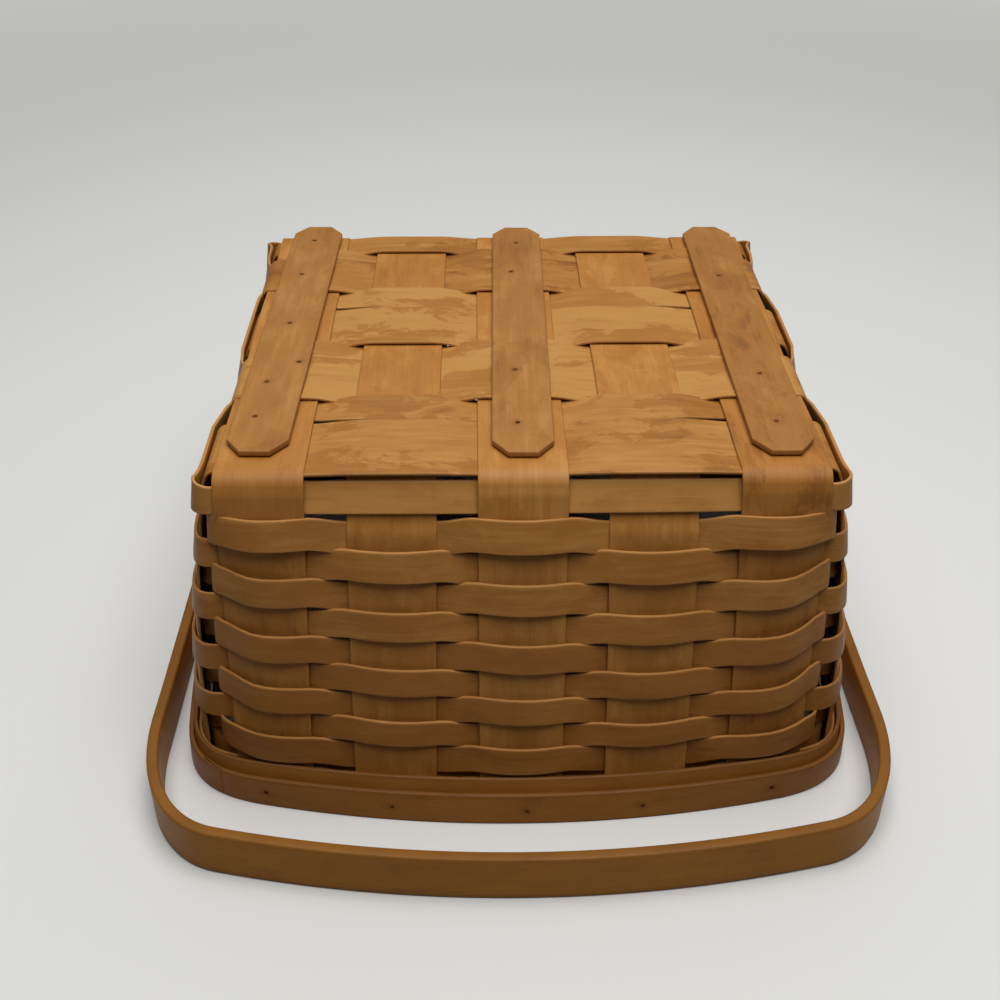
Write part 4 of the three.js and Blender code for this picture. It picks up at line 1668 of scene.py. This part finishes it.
@dataclass
class Rim:
    """Bands that hold the ends of the uprights, and the nails through them."""

    wall: Wall
    steps: int = 520
    points: int = 7  # across a band
    strip_start: float = 0.62  # where the bands start, as shares of the way round
    inner_start: float = 0.43
    scarf: float = 1 / 40  # share of the way round where the ends of the outer band overlap
    scarf_shift: float = 0.01  # the overlap lies this much before the left end of the front
    strip_rounds: Pair = (0.5, 0.5)  # radii of the lower and upper edges
    inner_rounds: Pair = (0.6, 1.2)
    outer_rounds: Pair = (0.5, 0.6)
    most_round: float = 0.92  # of half the thickness
    nail_height: float = 7.2
    nail_scatter: Pair = (2.5, 0.8)  # along the band and up
    nail_stain: float = 1.8
    seeds: np.random.Generator = field(default_factory=lambda: np.random.default_rng(37))

    def nails(self) -> list[Spot]:
        """Places the nails on the outer band, one at each upright.

        Returns:
            Places of the nails, with the direction out.
        """
        along, up = self.nail_scatter
        places = []
        for upright in self.wall.uprights:
            middle = (upright.low + upright.high) / 2
            offset = np.array(self.seeds.uniform(-along, along))
            base, rim = self.wall.place(upright.wall, middle, offset)
            height = np.array(self.nail_height + self.seeds.uniform(-up, up))
            places.append(self.wall.sheet(base, rim, np.array(self.wall.sizes.band_face), height))
        return places

    def ring(self, start: float, turns: float) -> tuple[Array, Array]:
        """Places round the wall from a start, as shares of the whole way round.

        Args:
            start: Where it starts.
            turns: How far it goes round.

        Returns:
            Lengths along the base line and along the rim line.
        """
        share = np.linspace(start, start + turns, self.steps)
        base, rim, _ = Weave(self.wall).stations()
        knots = np.linspace(0, 1, len(base))
        lap = np.floor(share)
        part = share - lap
        return (
            np.interp(part, knots, base) + lap * self.wall.base.total,
            np.interp(part, knots, rim) + lap * self.wall.rim.total,
        )

    def band(
        self,
        inner: Array,
        outer: Array,
        height: float,
        rounds: Pair,
        places: tuple[Array, Array],
    ) -> Strip:
        """A band between two distances out.

        Args:
            inner: Distance of its back at each station.
            outer: Distance of its face.
            height: How high it stands over the rim plane.
            rounds: Radii of its lower and upper edge.
            places: Lengths along the base line and the rim line.

        Returns:
            Its strip.
        """
        base, rim = places
        half = (outer - inner) / 2
        radii = [np.minimum(radius, half * self.most_round) for radius in rounds]
        z, drop, wear = across_strip((0 * half, height + 0 * half, *radii), self.points)
        out = ((inner + outer) / 2)[:, None]
        middle, normal = self.wall.sheet(base[:, None], rim[:, None], out, z)
        seed = own_number(self.seeds)
        return Strip(middle, normal, half[:, None] - drop, z - height / 2, wear, seed)

    def outer_band(self) -> Strip:
        """Makes the nailed band, whose ends taper past each other at the front left corner.

        Returns:
            Its strip.
        """
        s = self.wall.sizes
        places = self.ring(-self.scarf - self.scarf_shift, 1 + self.scarf)
        share = np.linspace(-self.scarf, 1, self.steps)
        under = np.clip(1 + share / self.scarf, 0, 1)
        over = np.clip(1 - (1 - share) / self.scarf, 0, 1)
        depth = s.band - 2 * s.scarf_tip - s.fit
        tip = s.band_back + s.scarf_tip
        outer = np.where(share < 0, tip + depth * under, s.band_face)
        inner = np.where(over > 0, tip + depth * over + s.fit, s.band_back)
        return self.band(inner, outer, s.band_height, self.outer_rounds, places)

    def build(self) -> None:
        """Makes and dresses the bands."""
        s = self.wall.sizes
        wood, iron = RIM_WOOD.dress(), IRON.dress()
        back = np.full(self.steps, s.strip_back)
        strip = self.band(
            back, back + s.strip, s.strip_height, self.strip_rounds, self.ring(self.strip_start, 1)
        )
        inside = self.band(
            -(back + s.inner_band), -back, s.inner_band_height, self.inner_rounds,
            self.ring(self.inner_start, 1),
        )
        nails = self.nails()
        outside = self.outer_band()
        outside.marks = [(Vector(point), self.nail_stain) for point, _ in nails]
        for node, band in (("rim_strip", strip), ("inner_rim_band", inside), ("outer_rim_band", outside)):
            install_wood(node, [band], wood, Slot.RIM)
        install(nail_object("rim_nails", nails, iron), Body.BASKET, Slot.RIVET)


@dataclass(frozen=True)
class Slat:
    """Place of one runner."""

    name: str
    splint: int  # the lengthwise splint that it lies on, from the left
    shift: Pair  # of its middle from the splint's middle line, and from the base's middle
    skew: float  # in degrees
    nails: Sequence[Pair]  # across and along it

    def placed(self, line: float, across: Array, along: Array, height: float) -> Array:
        """Turns points of the runner into place.

        Args:
            line: Middle line of the splint under it.
            across: Places across the runner.
            along: Places along it.
            height: Height of the points.

        Returns:
            The points.
        """
        angle = -math.radians(self.skew)
        turn = np.array([[math.cos(angle), -math.sin(angle)], [math.sin(angle), math.cos(angle)]])
        across, along, heights = np.broadcast_arrays(across, along, height)
        middle = np.array([line + self.shift[0], self.shift[1]])
        flat = np.stack([across, along], axis=-1) @ turn.T + middle
        return np.concatenate([flat, heights[..., None]], axis=-1)


@dataclass
class Runners:
    """Slats nailed under the base."""

    wall: Wall
    slats: tuple[Slat, ...] = (
        Slat("left", 0, (-0.3, 7.5), 1.1, (
            (-1, 84.5), (-2, 46.8), (-1, -1.2), (7.3, -35), (-3, -51), (-3.5, -77),
        )),
        Slat("middle", 2, (1.6, 6.0), 0.8, ((-0.2, 82.5), (-2.9, 50.3), (-2.2, -40.8), (-1.7, -80.8))),
        Slat("right", 4, (1.2, 6.2), 0.0, ((-1.4, 45.2), (0.3, -45), (-0.1, -81))),
    )
    edge_round: float = 0.45
    nail_stain: float = 1.6
    tip: tuple[float, ...] = (0.0, 0.12, 0.5, 1.0)  # stations on the round of an end, in its radii
    clip_start: float = 2.0  # first station on a clipped corner
    steps: tuple[int, int] = (7, 110)  # stations on a clipped corner, and between the corners
    spacing: float = 1.0  # from the corners to those between them
    points: int = 11  # across a runner
    seeds: np.random.Generator = field(default_factory=lambda: np.random.default_rng(53))

    def slat(self, slat: Slat) -> tuple[Strip, list[Spot]]:
        """One runner.

        Args:
            slat: Its place.

        Returns:
            Its strip, and the places of its nails with the direction out.
        """
        s = self.wall.sizes
        line = self.wall.middles[slat.splint]
        half_length = s.base_depth / 2 - s.runner_inset
        clip_x, clip_y = s.runner_clip
        clip_steps, body_steps = self.steps
        tip = np.array(self.tip) * self.edge_round
        near = np.concatenate([tip, np.linspace(self.clip_start, clip_y, clip_steps)])
        body_end = clip_y + self.spacing
        body = np.linspace(body_end, 2 * half_length - body_end, body_steps)
        y = np.concatenate([near, body, 2 * half_length - near[::-1]]) - half_length
        from_end = half_length - np.abs(y)
        half = s.runner_width / 2 - clip_x * (1 - np.clip(from_end / clip_y, 0, 1))
        radius = np.full_like(y, self.edge_round)
        x, drop, wear = across_strip((-half, half, radius, radius), self.points)
        ease = radius - np.sqrt(np.maximum(0, radius**2 - np.maximum(0, radius - from_end) ** 2))
        z = s.height + s.fit + s.runner / 2
        up = np.array([0.0, 0.0, 1.0])
        points = slat.placed(line, x, y[:, None], z)
        heads = [(slat.placed(line, *nail, z + s.runner / 2), up) for nail in slat.nails]
        strip = Strip(
            points, np.broadcast_to(up, points.shape), s.runner / 2 - np.maximum(drop, ease[:, None]),
            x, wear, own_number(self.seeds), [(Vector(point), self.nail_stain) for point, _ in heads],
        )
        return strip, heads

    def build(self) -> None:
        """Makes and dresses the runners."""
        wood, iron = RUNNER_WOOD.dress(), IRON.dress()
        heads = []
        for slat in self.slats:
            strip, nails = self.slat(slat)
            heads += nails
            install_wood(f"runner_{slat.name}", [strip], wood, Slot.RUNNER)
        install(nail_object("runner_nails", heads, iron), Body.BASKET, Slot.RIVET)


@dataclass
class Handle:
    """The bent strip that swings on its pivots."""

    sizes: Sizes
    leg: float
    edge_round: float = 0.9
    most_round: float = 1 / 3  # of half the width
    swell: float = 0.065  # the bar is this much wider than the legs
    sag: float = 0.8  # and reaches this much further
    bar_from: Pair = (60.0, 125.0)  # distances from the pivots where that starts and is full
    tip: float = 0.4  # least half width at the round ends
    end_power: int = 8  # how late the ends get thinner
    end_least: float = 0.25  # square of the least share of the thickness there
    steps: tuple[int, int, int] = (60, 40, 14)  # along half the bar and a bend, a leg and a round end
    points: int = 9  # across the strip
    seed: float = 4.2

    def line(self) -> Array:
        """Draws the middle of the strip.

        Returns:
            Points from the left pivot round to the right one.
        """
        s = self.sizes
        bend_steps, leg_steps, end_steps = self.steps
        bar = s.handle_reach - s.handle / 2
        turn_x = self.leg - s.handle_corner
        turn_y = -(bar - s.handle_bow)
        slope = 2 * s.handle_bow / turn_x
        pull_x = s.handle_round * s.handle_corner
        meet_y = turn_y + slope * s.handle_corner
        leg_pull = -s.handle_leg + (meet_y + s.handle_leg) * s.handle_round
        end = s.handle_width / 2 * np.sin(np.linspace(0, math.pi / 2, end_steps))
        straight = np.concatenate([np.linspace(-s.handle_leg, 0, leg_steps), end[1:]])
        half = np.concatenate([
            bezier([(0, -bar), (turn_x / 2, -bar), (turn_x, turn_y)], bend_steps),
            bezier([
                (turn_x, turn_y), (turn_x + pull_x, turn_y + slope * pull_x),
                (self.leg, leg_pull), (self.leg, -s.handle_leg),
            ], bend_steps)[1:],
            np.stack([np.full_like(straight, self.leg), straight], axis=1)[1:],
        ])
        return np.concatenate([(half * [-1, 1])[::-1], half[1:]])

    def strip(self) -> Strip:
        """Bends the strip.

        Returns:
            The strip, with round ends.
        """
        line = self.line()
        along = unit(np.gradient(line, axis=0))
        out = np.stack([along[:, 1], -along[:, 0], 0 * along[:, 0]], axis=1)
        radius = self.sizes.handle_width / 2
        past = np.clip(line[:, 1], 0, radius)
        half_width = np.maximum(np.sqrt(np.maximum(radius**2 - past**2, 0)), self.tip)
        edge_round = np.minimum(self.edge_round, half_width * self.most_round)
        edges = (radius - half_width, radius + half_width, edge_round, edge_round)
        z, drop, wear = across_strip(edges, self.points)
        bar = smooth(*self.bar_from, -line[:, 1])[:, None]
        z = z * (1 + self.swell * bar)
        flat = line - bar * [0, self.sag]
        middle = np.concatenate([np.broadcast_to(flat[:, None, :], (*z.shape, 2)), z[..., None]], axis=-1)
        normal = np.broadcast_to(out[:, None, :], middle.shape)
        end = np.sqrt(np.clip(1 - (past / radius) ** self.end_power, self.end_least, 1))
        half = self.sizes.handle / 2 * end[:, None] - drop
        return Strip(middle, normal, half, z - radius, wear, self.seed)

    def build(self) -> None:
        """Makes and dresses the handle."""
        install_wood("handle", [self.strip()], HANDLE_WOOD.dress(), Slot.HANDLE, Body.HANDLE)


UPRIGHT = 0.9  # an axis with this much height counts as upright


def turned(
    name: str, outline: Outline, spots: Sequence[Spot], material: Material, sides: int = 32
) -> Thing:
    """Copies of a turned piece, each about its own axis.

    Args:
        name: Name of the object.
        outline: Its outline, from axis to axis or closing on itself.
        spots: Place and direction of each copy, in millimetres.
        material: Finish.
        sides: Points round the axis.

    Returns:
        The object.
    """
    points, faces = [], []
    angles = np.linspace(0, 2 * math.pi, sides, endpoint=False)
    count = len(outline)
    is_tube = outline[0][0] > 0
    for place, axis in spots:
        side = unit(np.cross(axis, [0.0, 0.0, 1.0] if abs(axis[2]) < UPRIGHT else [1.0, 0.0, 0.0]))
        other = np.cross(axis, side)
        start = len(points)
        for radius, along in outline:
            for angle in angles:
                ring = side * math.cos(angle) + other * math.sin(angle)
                points.append(place + axis * along + ring * radius)
        for i in range(count if is_tube else count - 1):
            for j in range(sides):
                k, n = (j + 1) % sides, (i + 1) % count
                face = (i * sides + j, i * sides + k, n * sides + k, n * sides + j)
                faces.append(tuple(start + number for number in face))
    made = mesh_object(name, np.array(points), faces, material)
    made.data.validate()
    weld(made.data)
    return made


JOIN = 1e-6  # points closer than this are one
THIN = 1e-7  # edges shorter than this are none


def weld(mesh: bpy.types.Mesh) -> None:
    """Joins points that coincide and turns the faces outwards.

    Args:
        mesh: Mesh to weld.
    """
    work = bmesh.new()
    work.from_mesh(mesh)
    bmesh.ops.remove_doubles(work, verts=work.verts, dist=JOIN)
    bmesh.ops.dissolve_degenerate(work, edges=work.edges, dist=THIN)
    bmesh.ops.recalc_face_normals(work, faces=work.faces)
    work.to_mesh(mesh)
    work.free()


NAIL_OUTLINE = (
    (0.0, -1.2), (0.6, -1.2), (0.6, -0.15), (0.9, -0.1), (1.0, 0.0), (0.8, 0.07), (0.45, 0.1), (0.0, 0.11),
)
NAIL_SIDES = 14


def nail_object(name: str, spots: Sequence[Spot], material: Material) -> Thing:
    """Small nail heads, driven almost flush."""
    return turned(name, NAIL_OUTLINE, spots, material, NAIL_SIDES)


@dataclass
class Pivots:
    """Rivets and washers on which the handle turns."""

    sizes: Sizes
    shank: float = 2.2
    tail: Triple = (1.2, 1.7, 1.8)  # radii of the clinched tail, in those of the shank
    tail_round: float = 0.3
    seat: float = 0.97  # radius of the head's flat side, in that of the head
    ease: float = 0.25  # of a washer's edges
    steps: int = 9  # over the dome

    def build(self) -> None:
        """Makes and dresses the rivets and washers."""
        brass = BRASS.dress()
        centre = np.array([0.0, 0.0, self.sizes.handle_width / 2])
        for name, side in (("left", -1.0), ("right", 1.0)):
            outlines = {f"rivet_{name}": self.rivet(name)}
            for kind in ("outer_washer", "inner_washer"):
                outlines[f"{kind}_{name}"] = self.washer(f"{kind}_{name}")
            for node, outline in outlines.items():
                made = turned(f"{node}_brass", outline, [(centre, np.array([side, 0.0, 0.0]))], brass)
                install(made, Body.BASKET, Slot.RIVET, node)

    def reach(self, node: str) -> Triple:
        """Measures a turned node.

        Args:
            node: Name of the node.

        Returns:
            Its nearest and farthest distance from the middle plane, and its radius.
        """
        low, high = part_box(node)
        near, far = sorted((abs(low.x) / MM, abs(high.x) / MM))
        return near, far, (high.z - low.z) / 2 / MM

    def rivet(self, name: str) -> Outline:
        """Draws a rivet.

        Args:
            name: Its side.

        Returns:
            Outline of its clinched tail, shank and domed head.
        """
        near, far, radius = self.reach(f"rivet_{name}")
        head = self.reach("handle")[1] + self.sizes.fit
        tail = self.reach(f"inner_washer_{name}")[0] - self.sizes.fit
        tip, bulge, clinch = (share * self.shank for share in self.tail)
        dome = [
            (radius * math.cos(angle), head + (far - head) * math.sin(angle))
            for angle in np.linspace(0, math.pi / 2, self.steps)
        ]
        return [
            (0.0, near), (tip, near), (bulge, near + self.tail_round), (clinch, tail),
            (self.shank, tail), (self.shank, head), (radius * self.seat, head), *dome,
        ]

    def washer(self, node: str) -> Outline:
        """Draws a washer.

        Args:
            node: Name of its node.

        Returns:
            Outline with eased edges.
        """
        near, far, radius = self.reach(node)
        bore, ease = self.shank + self.sizes.fit, self.ease
        return [
            (bore, near), (radius - ease, near), (radius, near + ease),
            (radius, far - ease), (radius - ease, far), (bore, far),
        ]


# Stage


@dataclass(frozen=True)
class Lamp:
    """A soft round light, in metres."""

    name: str
    place: Triple
    aim: Triple
    size: float
    power: float

    def hang(self) -> None:
        """Hangs the light."""
        data = bpy.data.lights.new(self.name, "AREA")
        data.shape = "DISK"
        data.size = self.size
        data.energy = self.power
        made = linked(self.name, data)
        made.location = self.place
        down = Vector(self.aim) - Vector(self.place)
        made.rotation_euler = down.to_track_quat("-Z", "Y").to_euler()


@dataclass
class Stage:
    """Pale floor and backdrop, soft studio light, and the camera."""

    floor_colour: Colour = srgb(236, 236, 233)
    bounce_colour: Colour = srgb(80, 76, 70)
    room_colour: Colour = srgb(195, 195, 192)
    glow_colour: Colour = (1.0, 0.98, 0.95)
    fade: Pair = (0.6, 1.5)  # the floor fades into the room between these distances
    floor_radius: float = 12.0
    floor_sides: int = 48
    ambient: float = 0.08
    lamps: tuple[Lamp, ...] = (  # one over the table, and a weak wide one over its far end
        Lamp("key", (0.08, -0.3, 1.25), (0.0, 0.0, 0.0), 1.1, 12.2),
        Lamp("back", (0.0, 0.75, 1.3), (0.0, 0.85, 0.0), 1.6, 6.5),
    )
    focal_pixels: float = 1279.36
    sensor: float = 36.0
    eye: Triple = (-15.66, -476.43, 391.80)
    pitch: float = math.radians(34.622)
    yaw: float = 0.02
    roll: float = -0.0048

    def camera(self) -> None:
        """Places the camera at the photograph's viewpoint."""
        forward = Vector((
            math.sin(self.yaw) * math.cos(self.pitch), math.cos(self.yaw) * math.cos(self.pitch),
            -math.sin(self.pitch),
        ))
        level = Vector((math.cos(self.yaw), -math.sin(self.yaw), 0.0))
        down = forward.cross(level)
        right = level * math.cos(self.roll) + down * math.sin(self.roll)
        below = down * math.cos(self.roll) - level * math.sin(self.roll)
        data = bpy.data.cameras.new("camera")
        data.sensor_width = self.sensor
        data.lens = self.focal_pixels * self.sensor / IMAGE_SIZE
        turn = Matrix((right, -below, -forward)).transposed().to_4x4()
        place = (Vector(self.eye) + Vector((0.0, CENTRE_Y, 0.0))) * MM
        made = linked("camera", data)
        made.matrix_world = Matrix.Translation(place) @ turn
        bpy.context.scene.camera = made

    def world(self) -> None:
        """Sets the even light of the room, which the camera sees as a pale backdrop."""
        g = Graph(bpy.data.worlds.new("room"))
        seen = g.node("ShaderNodeLightPath").outputs["Is Camera Ray"]
        lit = {"Color": (*self.glow_colour, 1.0), "Strength": self.ambient}
        glow = g.node("ShaderNodeBackground", None, lit)
        pale = g.node("ShaderNodeBackground", None, {"Color": (*self.room_colour, 1.0)})
        mix = g.node("ShaderNodeMixShader", None, {0: seen, 1: glow.outputs[0], 2: pale.outputs[0]})
        g.node("ShaderNodeOutputWorld", None, {"Surface": mix.outputs[0]})
        bpy.context.scene.world = g.owner

    def floor_material(self) -> Material:
        """Builds the floor's finish.

        Returns:
            A material that is pale where it is seen or mirrored, fades into the room, and is dimmer in
            the light it throws back.
        """
        g = Graph(bpy.data.materials.new("pale_table"))
        path = g.node("ShaderNodeLightPath").outputs
        camera, glossy, through = (
            Value(g, path[f"Is {kind} Ray"]) for kind in ("Camera", "Glossy", "Transmission")
        )
        place = g.node("ShaderNodeTexCoord").outputs["Object"]
        away = g.node("ShaderNodeVectorMath", {"operation": "LENGTH"}, {0: place}).outputs["Value"]
        dim = g.node("ShaderNodeBsdfDiffuse", None, {"Color": (*self.bounce_colour, 1.0)})
        pale = g.node("ShaderNodeBsdfDiffuse", None, {"Color": (*self.floor_colour, 1.0)})
        room = g.node("ShaderNodeEmission", None, {"Color": (*self.room_colour, 1.0)})
        fade = g.node("ShaderNodeMixShader", None, {
            0: Value(g, away).ramp(*self.fade), 1: pale.outputs[0], 2: room.outputs[0],
        })
        mix = g.node("ShaderNodeMixShader", None, {
            0: camera.most(glossy).most(through), 1: dim.outputs[0], 2: fade.outputs[0],
        })
        g.node("ShaderNodeOutputMaterial", None, {"Surface": mix.outputs[0]})
        return g.owner

    def floor(self) -> None:
        """Lays the floor."""
        angle = np.linspace(0, 2 * math.pi, self.floor_sides, endpoint=False)
        points = self.floor_radius * np.stack([np.cos(angle), np.sin(angle), 0 * angle], axis=1)
        mesh = bpy.data.meshes.new("floor")
        mesh.from_pydata(points.tolist(), [], [tuple(range(len(points)))])
        mesh.materials.append(self.floor_material())
        linked("floor", mesh)

    def build(self) -> None:
        """Sets up the whole stage."""
        self.camera()
        for lamp in self.lamps:
            lamp.hang()
        self.world()
        self.floor()
        bpy.context.scene.view_settings.view_transform = "Standard"


def main() -> None:
    """Builds the stage and every sub-assembly, in order."""
    logging.basicConfig(level=logging.INFO, format="%(name)s: %(message)s")
    wall = Wall(SIZES)
    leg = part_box("handle")[1].x / MM - SIZES.handle / 2
    for part in (
        Stage(), WovenBase(wall), Weave(wall), Rim(wall), Runners(wall), Handle(SIZES, leg), Pivots(SIZES),
    ):
        part.build()


if __name__ == "__main__":
    main()
